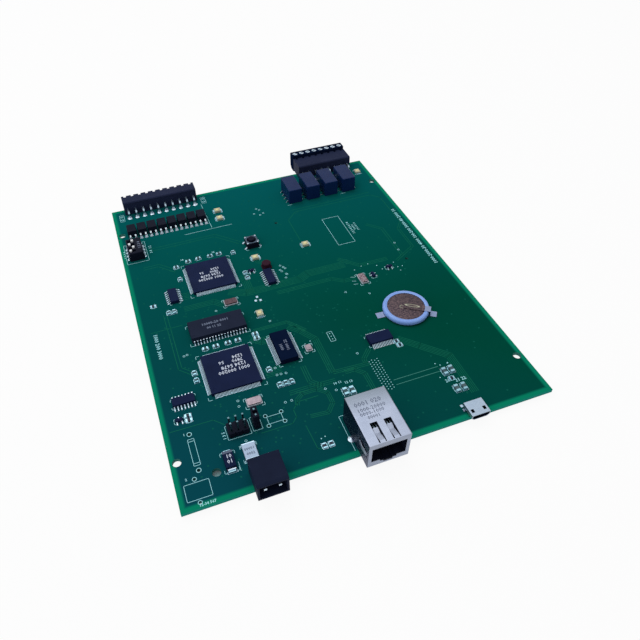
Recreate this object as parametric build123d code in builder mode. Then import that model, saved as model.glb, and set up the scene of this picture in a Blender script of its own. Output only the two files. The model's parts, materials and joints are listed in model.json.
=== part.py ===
# Controller board with two processors, network, USB and field wiring connectors.
# Millimetres.  The frame's origin is the centre of the four mounting holes on the
# underside of the laminate; X runs along the short side, Y to the rear edge, Z up.
from build123d import *
import os

os.makedirs("parts", exist_ok=True)

# ---- board ---------------------------------------------------------------------------
board_w = 142.24
board_l = 177.8
board_t = 1.6
mount_hole_d = 3.2
mount_inset_x = 2.54
mount_front_y = 19.05
mount_rear_y = 155.575
relief_hole_d = 1.6
drill_play = 0.15           # radial room of a soldered pin in its drilled hole
plain_hole_r = 1.0          # smaller holes have six sides, larger ones are round
pin_below = 1.4             # what a soldered pin shows below the laminate
seat_gap = 0.1              # stand-off of a surface-mount body

origin_x = board_w / 2
origin_y = (mount_front_y + mount_rear_y) / 2


def spot(x, y, z=0.0, turn=0.0):
    """Workplane at a place on the board's top face, measured from its near-left corner."""
    place = Plane(origin=(x - origin_x, y - origin_y, board_t + z))
    return place.rotated((0, 0, turn))


def upright(plane, along, across=0.0, up=0.0):
    """Profile plane: its x runs along the given plane's x, and its y runs up."""
    start = plane.from_local_coords((along, across, up))
    return Plane(origin=start, x_dir=plane.x_dir, z_dir=-plane.y_dir)


def side_plane(plane, along, facing=1):
    """Profile plane: its x runs along the given plane's y, and its y runs up."""
    start = plane.from_local_coords((along, 0, 0))
    return Plane(origin=start, x_dir=plane.y_dir * facing, z_dir=plane.x_dir * facing)


def steps(count, pitch):
    """Offsets of a centred row."""
    return [(index - (count - 1) / 2) * pitch for index in range(count)]


def finish(piece, name):
    piece.part.label = name
    export_step(piece.part, "parts/" + name + ".step")


# ---- field wiring: right-angle header, and header with screw plug --------------------
pole_pitch = 3.81
pole_pin = 0.8
pole_pin_z = 3.3            # height of the contact pins above the laminate
pole_wall = 0.8
pole_floor = 1.0
pole_header_h = 7.3
pole_back = 1.4             # thickness of the wall that holds the pins
pole_bend = 3.2             # from the housing to the drilled row
pole_bevel = 0.5
pole_notch_w = 1.3
pole_notch_l = 1.2
pole_reach = 5.2            # free length of a pin inside the plug header's mouth

wiring_poles = 10
wiring_x = 25.65
wiring_front = 172.6
wiring_depth = 6.8
wiring_reach = 4.4          # and inside the wiring header's

plug_poles = 8
plug_x = 118.25
plug_header_front = 172.4
plug_header_depth = 9.4

plug_play = 0.15            # room between the plug's tongue and the mouth
plug_stop = 0.3             # gap between the plug's shoulder and the mouth
plug_body_l = 5.2
plug_top = 8.8
plug_low = 0.8              # how far the plug hangs below the laminate's top face
plug_bevel = 1.6
screw_d = 2.6
screw_sides = 12            # flats that stand for the round screw and its well
screw_sink = 0.25
screw_slot = 0.5
screw_slot_deep = 0.6
screw_slot_turn = 18        # degrees
screw_set_back = 2.3        # screws' row, behind the plug's shoulder
tongue_room = 0.6           # between the tongue's end and the mouth's back
wire_d = 2.4                # square hole that a wire goes into
wire_z = 3.0
wire_hole_stop = 1.2        # wall left in front of the wire hole
cage_l = 3.0
cage_wall = 0.35
cage_set_back = 0.6
socket_play = 0.05
screw_h = plug_top - screw_sink - wire_z - wire_d / 2

# ---- power entry ---------------------------------------------------------------------
power_pitch = 5.08
power_poles = 2
power_x = 30.35
power_front = -4.3
power_l = 11.5
power_w = 11.0
power_h = 8.4
power_wall = 0.8
power_pin = 1.0
power_pin_z = 4.3
power_back = 2.6
power_reach = 8.1
power_bend = 1.9
power_bevel = 0.6
power_bevel_front = 0.3
power_nose = 1.1

# ---- network jack --------------------------------------------------------------------
jack_x = 70.75
jack_w = 15.5
jack_h = 12.8
jack_front = -5.6
jack_l = 21.0
jack_sheet = 0.25
jack_open_w = 12.8
jack_open_z = 2.6
jack_open_h = 7.6
jack_latch_w = 6.2
jack_latch_h = 1.0
jack_key_w = 3.4
jack_key_h = 0.8
jack_depth = 13.0
finger_w = 1.9
finger_slot_w = 2.7
finger_slot_l = 8.1
finger_slot_start = 0.3     # behind the front sheet's face
finger_x = 2.6              # slots' distance from the jack's centre line
finger_dip = 1.1
side_window_start = 0.9     # windows of the side fingers, behind the front sheet's face
side_window_l = 6.5
side_window_z = 4.4
side_window_h = 4.2
side_finger_w = 1.7
side_finger_out = 0.5       # how far a side finger stands out of its wall
jack_wires = 8
jack_wire_pitch = 1.02
jack_wire = 0.35
jack_row_gap = 2.54        # between the two drilled rows of the contact wires
jack_post_d = 3.0
jack_post_below = 0.9
jack_comb_l = 6.0
jack_pocket_h = 1.0
jack_tab_w = 1.6

# ---- USB socket ----------------------------------------------------------------------
usb_x = 109.95
usb_w = 7.4
usb_l = 6.4
usb_h = 2.6
usb_front = -1.5
usb_sheet = 0.25
usb_tongue_t = 0.6
usb_window_x = 2.4
usb_window_w = 1.2
usb_window_l = 1.5
usb_window_y = 2.1          # windows' middle, behind the mouth
usb_tab_out = 0.5
usb_tab_l = 1.2
usb_tab_y = 1.5             # tabs' middle, in front of the shell's rear

# ---- coin cell -----------------------------------------------------------------------
cell_x = 110.25
cell_y = 57.95
cell_d = 19.6
cell_t = 2.0
cell_can_d = 16.2
cell_step = 0.35
cell_lift = 0.3
sleeve_t = 0.2
tab_w = 3.2
tab_t = 0.2
tab_in = 1.0                # how far a tab lies past the cell's centre
tab_out = 13.3              # tabs' pads, from the cell's centre

# ---- relays and optocouplers ---------------------------------------------------------
relay_count = 4
relay_w = 7.4
relay_l = 14.4
relay_h = 7.9
relay_pitch = 10.16
relay_x = 108.65            # middle of the row
relay_y = 158.1
relay_leads = 4
relay_lead_pitch = 3.2
relay_reach = 0.9

opto_count = 8
opto_w = 4.6
opto_l = 6.5
opto_h = 3.5
opto_pitch = 5.08
opto_x = 25.4
opto_y = 155.65
opto_reach = 1.5
opto_lead_w = 0.7

# ---- switches ------------------------------------------------------------------------
dip_poles = 4
dip_pitch = 2.54
dip_x = 7.0
dip_y = 139.4
dip_w = 7.0
dip_l = 12.0
dip_h = 4.6
dip_row = 7.62
dip_pin_w = 0.5
dip_pin_t = 0.25
dip_slot_w = 3.0
dip_slot_l = 1.5
dip_slot_deep = 1.1
dip_slot_shift = -1.3
dip_knob = 1.1
dip_knob_up = 0.7
dip_play = 0.15
dip_settings = (1, -1, 1, -1)       # which end of its slot each slider rests at

key_x = 61.2
key_y = 125.2
key_w = 6.0
key_base_h = 3.0
key_cover_t = 0.3
key_button_d = 3.4
key_button_up = 0.8
key_travel = 0.25
key_play = 0.15
key_well_deep = 1.2
key_ring = 0.6              # room round the button in the cover
key_rivet = 2.4             # corner rivets, from the key's centre lines
key_lead_out = 1.0

# ---- pin headers ---------------------------------------------------------------------
post_pitch = 2.54
post = 0.64
post_base_h = 2.5
post_up = 7.2               # post tips above the laminate
block_x = 26.0
block_y = 24.45
block_columns = 3
block_rows = 2
jumper_x = 32.9
jumper_y = 25.0
jumper_posts = 2
shunt_w = 2.3
shunt_l = 4.9
shunt_h = 4.6
shunt_play = 0.12
shunt_lift = 0.1

# ---- chips: centre, body, leads ------------------------------------------------------
quad_body = 20.0
quad_h = 1.4
quad_leads = 36
quad_pitch = 0.5
quad_lead_w = 0.22
quad_span = 22.0
upper_chip = (36.8, 109.8)
lower_chip = (30.8, 52.2)
lead_t = 0.14
foot_start = 0.35           # a lead's foot begins at this share of its reach
chip_draft = 3.5            # degrees

memory_chip = (31.46, 75.75)
memory_l = 23.5
memory_w = 10.16
memory_h = 3.5
memory_lead_w = 0.5
memory_leads = 18
so_pitch = 1.27
memory_lift = 0.7

driver_chip = (54.05, 55.6)
driver_w = 7.5
driver_l = 15.9
driver_h = 2.4
driver_span = 10.3
driver_leads = 24
driver_pitch = 0.635

soic_w = 3.9
soic_span = 6.1
soic_h = 1.6
# centre x, centre y, turn, body length, body width, height, span, leads, pitch, lead width
small_chips = (
    (17.9, 101.9, 90, 8.65, soic_w, soic_h, soic_span, 7, so_pitch, 0.42),
    (10.2, 43.75, 0, 8.65, soic_w, soic_h, soic_span, 7, so_pitch, 0.42),
    (61.95, 98.9, 90, 9.9, soic_w, soic_h, soic_span, 8, so_pitch, 0.42),
    (92.4, 46.5, 0, 10.2, 5.3, 1.8, 7.8, 14, 0.65, 0.3),
)
# small transistors and regulators in three-lead packages: x, y, turn
small_transistors = ((55.3, 106.2, 0), (6.9, 35.8, 0), (106.8, 83.4, 90), (116.1, 85.9, 0))
transistor_l = 2.9
transistor_w = 1.4
transistor_h = 1.0

# ---- crystals, fuse, diode, inductor -------------------------------------------------
crystal_base_h = 0.5
crystal_lid_h = 0.6
crystal_rim = 0.25
# centre x, centre y, length along x, width along y
crystals = ((40.9, 89.4, 5.9, 3.6), (35.0, 34.3, 5.9, 3.6), (101.3, 82.7, 3.4, 6.2), (63.4, 52.0, 2.7, 3.3))

fuse_x = 27.55
fuse_y = 14.1
fuse_w = 4.7
fuse_l = 6.6
fuse_h = 1.4
fuse_cap = 0.35

diode_x = 19.8
diode_y = 13.0
diode_w = 3.8
diode_l = 6.8
diode_h = 2.3
diode_strap_w = 2.9
diode_strap_out = 0.9

coil_x = 62.9
coil_y = 106.8
coil_w = 4.6
coil_h = 2.8
coil_foot = 0.5

# ---- chip parts and lamps ------------------------------------------------------------
chip_l = 2.0
chip_w = 1.25
chip_h = 0.8
chip_cap = 0.45
resistor_h = 0.5
large_l = 3.2
large_w = 1.6
large_h = 0.9
large_cap = 0.9
capacitors = (
    (29.2, 123.7, 0), (34.2, 124.1, 0), (39.9, 124.1, 0), (44.3, 124.1, 0),
    (24.0, 66.6, 0), (28.4, 66.6, 0), (33.5, 66.6, 0), (37.7, 66.6, 0),
    (23.0, 121.4, 0), (23.0, 112.4, 90), (14.0, 92.4, 90), (16.4, 92.4, 90),
    (51.0, 122.5, 90), (17.0, 55.6, 90), (17.0, 51.8, 90), (45.4, 67.4, 0),
    (45.4, 64.9, 0), (45.0, 47.1, 90), (46.6, 38.4, 90), (49.0, 38.4, 90),
    (51.4, 38.4, 90),
)
large_capacitors = (
    (68.8, 26.5, 90), (71.5, 26.3, 90), (108.6, 21.9, 90), (111.6, 22.1, 90),
    (108.8, 13.0, 90), (111.8, 13.0, 90),
)
resistors = (
    (8.3, 99.0, 0), (10.3, 36.9, 0), (10.3, 34.8, 0), (52.4, 106.3, 90), (52.4, 102.6, 90),
    (52.7, 7.4, 90), (55.3, 7.4, 90), (98.7, 40.7, 0), (98.2, 43.0, 0), (109.5, 18.2, 0),
)
lamp_l = 3.2
lamp_w = 2.7
lamp_h = 1.1
lamp_lens_d = 2.2
lamp_lens_h = 0.35
lamp_end = 0.5
lamp_end_h = 0.5
lamps = (
    (52.4, 158.8, 0), (51.9, 151.9, 0), (59.8, 114.8, 0), (85.6, 115.8, 0),
    (50.7, 78.0, 90), (135.8, 166.8, 90),
)

# drilled holes of the parts that are not fitted: x, y, diameter
spare_holes = (
    (36.95, 26.7, 1.0), (43.1, 26.7, 1.0), (43.1, 22.25, 1.0), (36.95, 22.25, 1.0),
    (9.05, 28.8, 1.2), (9.05, 13.6, 1.2), (6.9, 10.8, 1.0), (6.9, 1.9, 1.0),
    (14.6, 10.7, 3.2),
)

# bare round holes: one inside the bracket outline, one beside the coin cell
relief_spots = ((77.8, 137.8), (126.7, 88.6))

# ---- drilled rows, from the parts that use them --------------------------------------
pole_hole_y = wiring_front - pole_bend
plug_hole_y = plug_header_front - pole_bend
power_hole_y = power_front + power_l + power_bend
jack_tab_y = jack_front + 12.2
jack_post_y = jack_front + 8.9
jack_post_x = 5.0
jack_wire_y = jack_front + 15.6


def round_for(side):
    """Drill radius for a square pin."""
    return side / 2 * 2 ** 0.5 + drill_play


def hole_row(centre_x, y, count, pitch, radius):
    """A centred row of drilled holes along X."""
    return [(centre_x + x, y, radius) for x in steps(count, pitch)]


drilled = [(x, y, d / 2) for x, y, d in spare_holes]
drilled += hole_row(wiring_x, pole_hole_y, wiring_poles, pole_pitch, round_for(pole_pin))
drilled += hole_row(plug_x, plug_hole_y, plug_poles, pole_pitch, round_for(pole_pin))
drilled += hole_row(power_x, power_hole_y, power_poles, power_pitch, round_for(power_pin))
for row_y in steps(block_rows, post_pitch):
    drilled += hole_row(block_x, block_y + row_y, block_columns, post_pitch, round_for(post))
for row_y in steps(jumper_posts, post_pitch):
    drilled += hole_row(jumper_x, jumper_y + row_y, 1, post_pitch, round_for(post))
for row_y in steps(dip_poles, dip_pitch):
    drilled += hole_row(dip_x, dip_y + row_y, 2, dip_row, round_for(dip_pin_w))
drilled += hole_row(jack_x, jack_tab_y, 2, jack_w, jack_tab_w / 2 + drill_play)
drilled += hole_row(jack_x, jack_post_y, 2, 2 * jack_post_x, jack_post_d / 2 + drill_play)
for index, wire_x in enumerate(steps(jack_wires, jack_wire_pitch)):
    drilled.append((jack_x + wire_x, jack_wire_y + (index % 2) * jack_row_gap, round_for(jack_wire)))
mount_spots = [(x, y) for x in (mount_inset_x, board_w - mount_inset_x)
               for y in (mount_front_y, mount_rear_y)]

with BuildPart() as circuit_board:
    with BuildSketch(spot(board_w / 2, board_l / 2, -board_t)):
        Rectangle(board_w, board_l)
        with Locations(*[(x - board_w / 2, y - board_l / 2) for x, y in mount_spots]):
            Circle(mount_hole_d / 2, mode=Mode.SUBTRACT)
        with Locations(*[(x - board_w / 2, y - board_l / 2) for x, y in relief_spots]):
            Circle(relief_hole_d / 2, mode=Mode.SUBTRACT)
        for hole_x, hole_y, hole_r in drilled:
            with Locations((hole_x - board_w / 2, hole_y - board_l / 2)):
                if hole_r < plain_hole_r:
                    RegularPolygon(hole_r, 6, major_radius=False, mode=Mode.SUBTRACT)
                else:
                    Circle(hole_r, mode=Mode.SUBTRACT)
    extrude(amount=board_t)
finish(circuit_board, "circuit_board")


# ---- pluggable headers ---------------------------------------------------------------
def pole_header(centre_x, front_y, poles, depth):
    """Shrouded right-angle housing: open to the rear, with notches over the poles."""
    length = poles * pole_pitch
    base = spot(centre_x, front_y)
    end = side_plane(base, -length / 2)
    mouth = upright(base, 0, depth)
    with BuildPart() as housing:
        with BuildSketch(end):
            with BuildLine():
                Polyline((0, 0), (depth, 0), (depth, pole_header_h), (pole_bevel, pole_header_h),
                         (0, pole_header_h - pole_bevel), close=True)
            make_face()
        extrude(amount=length)
        with BuildSketch(mouth):
            with Locations((0, pole_floor)):
                Rectangle(length - 2 * pole_wall, pole_header_h - pole_floor - pole_wall,
                          align=(Align.CENTER, Align.MIN))
        extrude(amount=depth - pole_back, mode=Mode.SUBTRACT)
        with BuildSketch(spot(centre_x, front_y + depth, pole_header_h)):
            with Locations(*[(x, 0) for x in steps(poles, pole_pitch)]):
                Rectangle(pole_notch_w, pole_notch_l * 2)
        extrude(amount=-pole_wall, mode=Mode.SUBTRACT)
        pin_rows = [upright(base, x, 0, pole_pin_z) for x in steps(poles, pole_pitch)]
        with BuildSketch(*pin_rows):
            Rectangle(pole_pin, pole_pin)
        extrude(amount=-pole_back, mode=Mode.SUBTRACT)
    return housing


def bent_pins(centre_x, face_y, offsets, side, height, bend, reach_in, facing):
    """Square pins: straight inside the housing, bent down outside it and through the board."""
    base = spot(centre_x, face_y)
    half = side / 2
    tip = -board_t - pin_below
    with BuildPart() as pins:
        with BuildSketch(*[side_plane(base, x, facing) for x in offsets]):
            with BuildLine():
                Polyline((reach_in, height + half), (half - bend, height + half),
                         (-bend - half, height - half), (-bend - half, tip), (half - bend, tip),
                         (half - bend, height - half), (reach_in, height - half), close=True)
            make_face()
        extrude(amount=half, both=True)
    return pins


wiring_header = pole_header(wiring_x, wiring_front, wiring_poles, wiring_depth)
finish(wiring_header, "wiring_header")
wiring_header_pins = bent_pins(wiring_x, wiring_front, steps(wiring_poles, pole_pitch), pole_pin,
                               pole_pin_z, pole_bend, pole_back + wiring_reach, 1)
finish(wiring_header_pins, "wiring_header_pins")
plug_header = pole_header(plug_x, plug_header_front, plug_poles, plug_header_depth)
finish(plug_header, "plug_header")
plug_header_pins = bent_pins(plug_x, plug_header_front, steps(plug_poles, pole_pitch), pole_pin,
                             pole_pin_z, pole_bend, pole_back + pole_reach, 1)
finish(plug_header_pins, "plug_header_pins")

# ---- screw plug: tongue in the header's mouth, body behind it ------------------------
plug_len = plug_poles * pole_pitch
plug_mouth_y = plug_header_front + plug_header_depth
plug_start_y = plug_mouth_y + plug_stop
tongue_l = plug_header_depth - pole_back - tongue_room
tongue_z = pole_floor + plug_play
tongue_h = pole_header_h - pole_floor - pole_wall - 2 * plug_play
plug_face = spot(plug_x, plug_start_y)
plug_rear = spot(plug_x, plug_start_y + plug_body_l)
plug_tip = spot(plug_x, plug_start_y - tongue_l)
screw_y = plug_start_y + screw_set_back
socket_side = pole_pin + 2 * socket_play
wire_hole_l = plug_body_l - wire_hole_stop
plug_offsets = steps(plug_poles, pole_pitch)

with BuildPart() as screw_plug:
    with BuildSketch(side_plane(plug_face, -plug_len / 2)):
        with BuildLine():
            Polyline((0, -plug_low), (plug_body_l - plug_bevel, -plug_low),
                     (plug_body_l, plug_bevel - plug_low), (plug_body_l, plug_top - plug_bevel / 2),
                     (plug_body_l - plug_bevel / 2, plug_top), (0, plug_top), close=True)
        make_face()
    extrude(amount=plug_len)
    with BuildSketch(upright(plug_face, 0, 0, tongue_z)):
        Rectangle(plug_len - 2 * (pole_wall + plug_play), tongue_h, align=(Align.CENTER, Align.MIN))
    extrude(amount=tongue_l)
    with BuildSketch(*[upright(plug_tip, x, 0, pole_pin_z) for x in plug_offsets]):
        Rectangle(socket_side, socket_side)
    extrude(amount=-(pole_reach + tongue_room), mode=Mode.SUBTRACT)
    with BuildSketch(spot(plug_x, screw_y, plug_top)):
        with Locations(*[(x, 0) for x in plug_offsets]):
            RegularPolygon(screw_d / 2 + plug_play, screw_sides, major_radius=False)
    extrude(amount=-(plug_top - wire_z), mode=Mode.SUBTRACT)
    with BuildSketch(*[upright(plug_rear, x, 0, wire_z) for x in plug_offsets]):
        Rectangle(wire_d, wire_d)
    extrude(amount=wire_hole_l, mode=Mode.SUBTRACT)
finish(screw_plug, "screw_plug")

with BuildPart() as clamp_screws:
    with BuildSketch(spot(plug_x, screw_y, plug_top - screw_sink)):
        with Locations(*[(x, 0) for x in plug_offsets]):
            RegularPolygon(screw_d / 2, screw_sides)
    extrude(amount=-screw_h)
    with BuildSketch(spot(plug_x, screw_y, plug_top - screw_sink)):
        with Locations(*[(x, 0) for x in plug_offsets]):
            Rectangle(screw_d * 1.1, screw_slot, rotation=screw_slot_turn)
    extrude(amount=-screw_slot_deep, mode=Mode.SUBTRACT)
finish(clamp_screws, "clamp_screws")

# a square metal cage round each wire hole, which its screw bears on
cage_side = wire_d - 2 * socket_play
with BuildPart() as clamp_cages:
    with BuildSketch(*[upright(plug_rear, x, -cage_set_back, wire_z) for x in plug_offsets]):
        Rectangle(cage_side, cage_side)
        Rectangle(cage_side - 2 * cage_wall, cage_side - 2 * cage_wall, mode=Mode.SUBTRACT)
    extrude(amount=cage_l)
finish(clamp_cages, "clamp_cages")

# ---- power entry ---------------------------------------------------------------------
power_base = spot(power_x, power_front)
power_in_h = power_h - 2 * power_wall - power_bevel_front

with BuildPart() as power_header:
    with BuildSketch(side_plane(power_base, -power_w / 2)):
        with BuildLine():
            Polyline((0, 0), (power_l, 0), (power_l, power_h - power_bevel),
                     (power_l - power_bevel, power_h), (power_nose, power_h),
                     (0, power_h - power_bevel_front), close=True)
        make_face()
    extrude(amount=power_w)
    with BuildSketch(upright(power_base, 0, 0, power_wall)):
        Rectangle(power_w - 2 * power_wall, power_in_h, align=(Align.CENTER, Align.MIN))
    extrude(amount=-(power_l - power_back), mode=Mode.SUBTRACT)
    with BuildSketch(*[upright(power_base, x, 0, power_pin_z) for x in steps(power_poles, power_pitch)]):
        Rectangle(power_pin, power_pin)
    extrude(amount=-power_l, mode=Mode.SUBTRACT)
finish(power_header, "power_header")

power_header_pins = bent_pins(power_x, power_front + power_l, steps(power_poles, power_pitch), power_pin,
                              power_pin_z, power_bend, power_back + power_reach, -1)
finish(power_header_pins, "power_header_pins")

# ---- network jack: folded shield with spring fingers, moulded insert, contact wires --
jack_base = spot(jack_x, jack_front)
jack_face = upright(jack_base, 0)
jack_in_w = jack_w - 2 * jack_sheet
insert_w = jack_in_w - 0.1
insert_h = jack_h - jack_sheet - 0.15
insert_front = 0.3
slot_middle = finger_slot_start + finger_slot_l / 2
finger_offsets = (-finger_x, finger_x)
finger_base = spot(jack_x, jack_front)
finger_low = jack_h - finger_dip

with BuildPart() as jack_shield:
    with BuildSketch(spot(jack_x, jack_front + jack_l / 2)):
        Rectangle(jack_w, jack_l)
    extrude(amount=jack_h)
    edges_up = jack_shield.edges().filter_by(Axis.Y).group_by(Axis.Z)[-1]
    fillet(edges_up, jack_sheet * 1.6)
    with BuildSketch(spot(jack_x, jack_front + jack_l / 2)):
        Rectangle(jack_in_w, jack_l - 2 * jack_sheet)
    extrude(amount=jack_h - jack_sheet, mode=Mode.SUBTRACT)
    # the mouth in the front sheet, with the stepped way for the latch below it
    with BuildSketch(jack_face):
        with Locations((0, jack_open_z)):
            Rectangle(jack_open_w, jack_open_h, align=(Align.CENTER, Align.MIN))
        with Locations((0, jack_open_z - jack_latch_h)):
            Rectangle(jack_latch_w, jack_latch_h, align=(Align.CENTER, Align.MIN))
        with Locations((0, jack_open_z - jack_latch_h - jack_key_h)):
            Rectangle(jack_key_w, jack_key_h, align=(Align.CENTER, Align.MIN))
    extrude(amount=-2 * jack_sheet, mode=Mode.SUBTRACT)
    # slots of the two top fingers, cut back from the front edge
    with BuildSketch(spot(jack_x, jack_front + slot_middle, jack_h)):
        with Locations(*[(x, 0) for x in finger_offsets]):
            Rectangle(finger_slot_w, finger_slot_l)
    extrude(amount=-2 * jack_sheet, mode=Mode.SUBTRACT)
    # each finger grows from its slot's front end and dips to the rear
    with BuildSketch(*[side_plane(finger_base, x - finger_w / 2) for x in finger_offsets]):
        with BuildLine():
            Polyline((0, jack_h), (1.2, jack_h), (4.6, finger_low), (6.6, finger_low + 0.45),
                     (6.6, finger_low + 0.25), (4.6, finger_low - 0.2), (1.2, jack_h - jack_sheet),
                     (0, jack_h - jack_sheet), close=True)
        make_face()
    extrude(amount=finger_w)
    # a window near the front of each side wall, with a finger that stands out of it
    with BuildSketch(side_plane(jack_base, -jack_w / 2)):
        with Locations((side_window_start, side_window_z)):
            Rectangle(side_window_l, side_window_h, align=Align.MIN)
    extrude(amount=jack_w, mode=Mode.SUBTRACT)
    with BuildSketch(spot(jack_x, jack_front, side_window_z + (side_window_h - side_finger_w) / 2)):
        with BuildLine():
            Polyline((jack_in_w / 2, 0.6), (jack_w / 2, 0.6), (jack_w / 2 + side_finger_out, 4.2),
                     (jack_w / 2 + 0.1, 7.0), (jack_w / 2 - 0.1, 6.9),
                     (jack_w / 2 + side_finger_out - jack_sheet, 4.2), (jack_in_w / 2, 1.1), close=True)
        make_face()
        mirror(about=Plane.YZ)
    extrude(amount=side_finger_w)
    # a solder tab on each side
    for side in (-1, 1):
        tab_start = spot(jack_x + side * (jack_w - jack_sheet) / 2, jack_tab_y - jack_tab_w / 2)
        with BuildSketch(upright(tab_start, 0, 0, -board_t - pin_below)):
            Rectangle(jack_sheet, board_t + pin_below + 0.5, align=(Align.CENTER, Align.MIN))
        extrude(amount=-jack_tab_w)
finish(jack_shield, "jack_shield")

with BuildPart() as jack_insert:
    with BuildSketch(spot(jack_x, jack_front + jack_sheet + insert_front)):
        Rectangle(insert_w, jack_l - 2 * jack_sheet - insert_front - 0.3, align=(Align.CENTER, Align.MIN))
    extrude(amount=insert_h)
    with BuildSketch(upright(spot(jack_x, jack_front), 0)):
        with Locations((0, jack_open_z)):
            Rectangle(jack_open_w - 0.2, jack_open_h - 0.1, align=(Align.CENTER, Align.MIN))
        with Locations((0, jack_open_z - jack_latch_h)):
            Rectangle(jack_latch_w, jack_latch_h, align=(Align.CENTER, Align.MIN))
        with Locations((0, jack_open_z - jack_latch_h - jack_key_h)):
            Rectangle(jack_key_w, jack_key_h, align=(Align.CENTER, Align.MIN))
    extrude(amount=-jack_depth, mode=Mode.SUBTRACT)
    # wells that let the shield's fingers move
    with BuildSketch(spot(jack_x, jack_front + slot_middle + 0.5, insert_h)):
        with Locations(*[(x, 0) for x in finger_offsets]):
            Rectangle(finger_slot_w, finger_slot_l + 1.4)
    extrude(amount=-(insert_h - jack_open_z - jack_open_h - jack_pocket_h), mode=Mode.SUBTRACT)
    with BuildSketch(spot(jack_x, jack_post_y)):
        with Locations(*[(side * jack_post_x, 0) for side in (-1, 1)]):
            Circle(jack_post_d / 2)
    extrude(amount=-(board_t + jack_post_below))
    # pocket over the mouth, and the shaft behind it, for the contact wires
    comb_w = jack_wires * jack_wire_pitch + 0.6
    with BuildSketch(spot(jack_x, jack_front + 2.0, jack_open_z + jack_open_h - 0.3)):
        Rectangle(comb_w, jack_depth + jack_comb_l - 2.0, align=(Align.CENTER, Align.MIN))
    extrude(amount=jack_pocket_h + 0.3, mode=Mode.SUBTRACT)
    with BuildSketch(spot(jack_x, jack_front + jack_depth)):
        Rectangle(comb_w, jack_comb_l, align=(Align.CENTER, Align.MIN))
    extrude(amount=jack_open_z + jack_open_h, mode=Mode.SUBTRACT)
finish(jack_insert, "jack_insert")

# each wire rises from the board, runs forward over the mouth's roof and hairpins back down
# into the mouth
wire_top = jack_open_z + jack_open_h + jack_pocket_h - 0.2
wire_turn = 2.5             # the bend's distance behind the front sheet
wire_end = 10.5
wire_low = jack_open_z + 3.8
with BuildPart() as jack_contacts:
    for index, x in enumerate(steps(jack_wires, jack_wire_pitch)):
        foot = jack_wire_y + (index % 2) * jack_row_gap - jack_front
        half = jack_wire / 2
        with BuildSketch(side_plane(jack_base, x)):
            with BuildLine():
                Polyline((foot + half, -board_t - pin_below), (foot + half, wire_top),
                         (wire_turn + 0.2, wire_top), (wire_turn, wire_top - 0.45), (wire_end, wire_low),
                         (wire_end + 0.1, wire_low + jack_wire), (wire_turn + 0.6, wire_top - jack_wire),
                         (foot - half, wire_top - jack_wire), (foot - half, -board_t - pin_below),
                         close=True)
            make_face()
        extrude(amount=half, both=True)
finish(jack_contacts, "jack_contacts")

# ---- USB socket ----------------------------------------------------------------------
usb_base = spot(usb_x, usb_front)
usb_corner = 0.9            # the chamfered lower corners of the shell
side_align = {-1: Align.MIN, 1: Align.MAX}


def usb_outline(inset):
    """Mouth shape with the two chamfered lower corners."""
    half = usb_w / 2 - inset
    low = inset
    top = usb_h - inset
    return [(-half, top), (half, top), (half, low + usb_corner), (half - usb_corner, low),
            (usb_corner - half, low), (-half, low + usb_corner)]


with BuildPart() as usb_shell:
    with BuildSketch(upright(usb_base, 0)):
        with BuildLine():
            Polyline(*usb_outline(0), close=True)
        make_face()
    extrude(amount=-usb_l)
    with BuildSketch(upright(usb_base, 0)):
        with BuildLine():
            Polyline(*usb_outline(usb_sheet), close=True)
        make_face()
    extrude(amount=-(usb_l - 1.4), mode=Mode.SUBTRACT)
    # latch windows near the mouth
    with BuildSketch(spot(usb_x, usb_front, usb_h)):
        with Locations((-usb_window_x, usb_window_y), (usb_window_x, usb_window_y)):
            Rectangle(usb_window_w, usb_window_l)
    extrude(amount=-usb_sheet, mode=Mode.SUBTRACT)
    # hold-down tabs that are soldered flat to the board
    with BuildSketch(spot(usb_x, usb_front + usb_l - usb_tab_y)):
        for side in (-1, 1):
            with Locations((side * (usb_w / 2 + usb_tab_out), 0)):
                Rectangle(usb_tab_out + usb_corner, usb_tab_l, align=(side_align[side], Align.CENTER))
    extrude(amount=0.3)
finish(usb_shell, "usb_shell")

with BuildPart() as usb_tongue:
    with BuildSketch(spot(usb_x, usb_front + 1.2, usb_sheet + 0.9)):
        Rectangle(3.7, usb_l - 1.2 - 1.4, align=(Align.CENTER, Align.MIN))
    extrude(amount=usb_tongue_t)
finish(usb_tongue, "usb_tongue")

# ---- coin cell, its sleeve and its welded tabs ---------------------------------------
cell_base = spot(cell_x, cell_y, cell_lift)
with BuildPart() as coin_cell:
    with BuildSketch(cell_base):
        Circle(cell_can_d / 2)
    extrude(amount=cell_step)
    with BuildSketch(cell_base.offset(cell_step)):
        Circle(cell_d / 2)
    extrude(amount=cell_t - cell_step)
finish(coin_cell, "coin_cell")

with BuildPart() as cell_sleeve:
    with BuildSketch(cell_base.offset(cell_step)):
        Circle(cell_d / 2 + sleeve_t)
        Circle(cell_d / 2, mode=Mode.SUBTRACT)
    extrude(amount=cell_t - cell_step)
    with BuildSketch(cell_base.offset(cell_t)):
        Circle(cell_d / 2 + sleeve_t)
        Circle(cell_can_d / 2, mode=Mode.SUBTRACT)
    extrude(amount=sleeve_t)
finish(cell_sleeve, "cell_sleeve")

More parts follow.
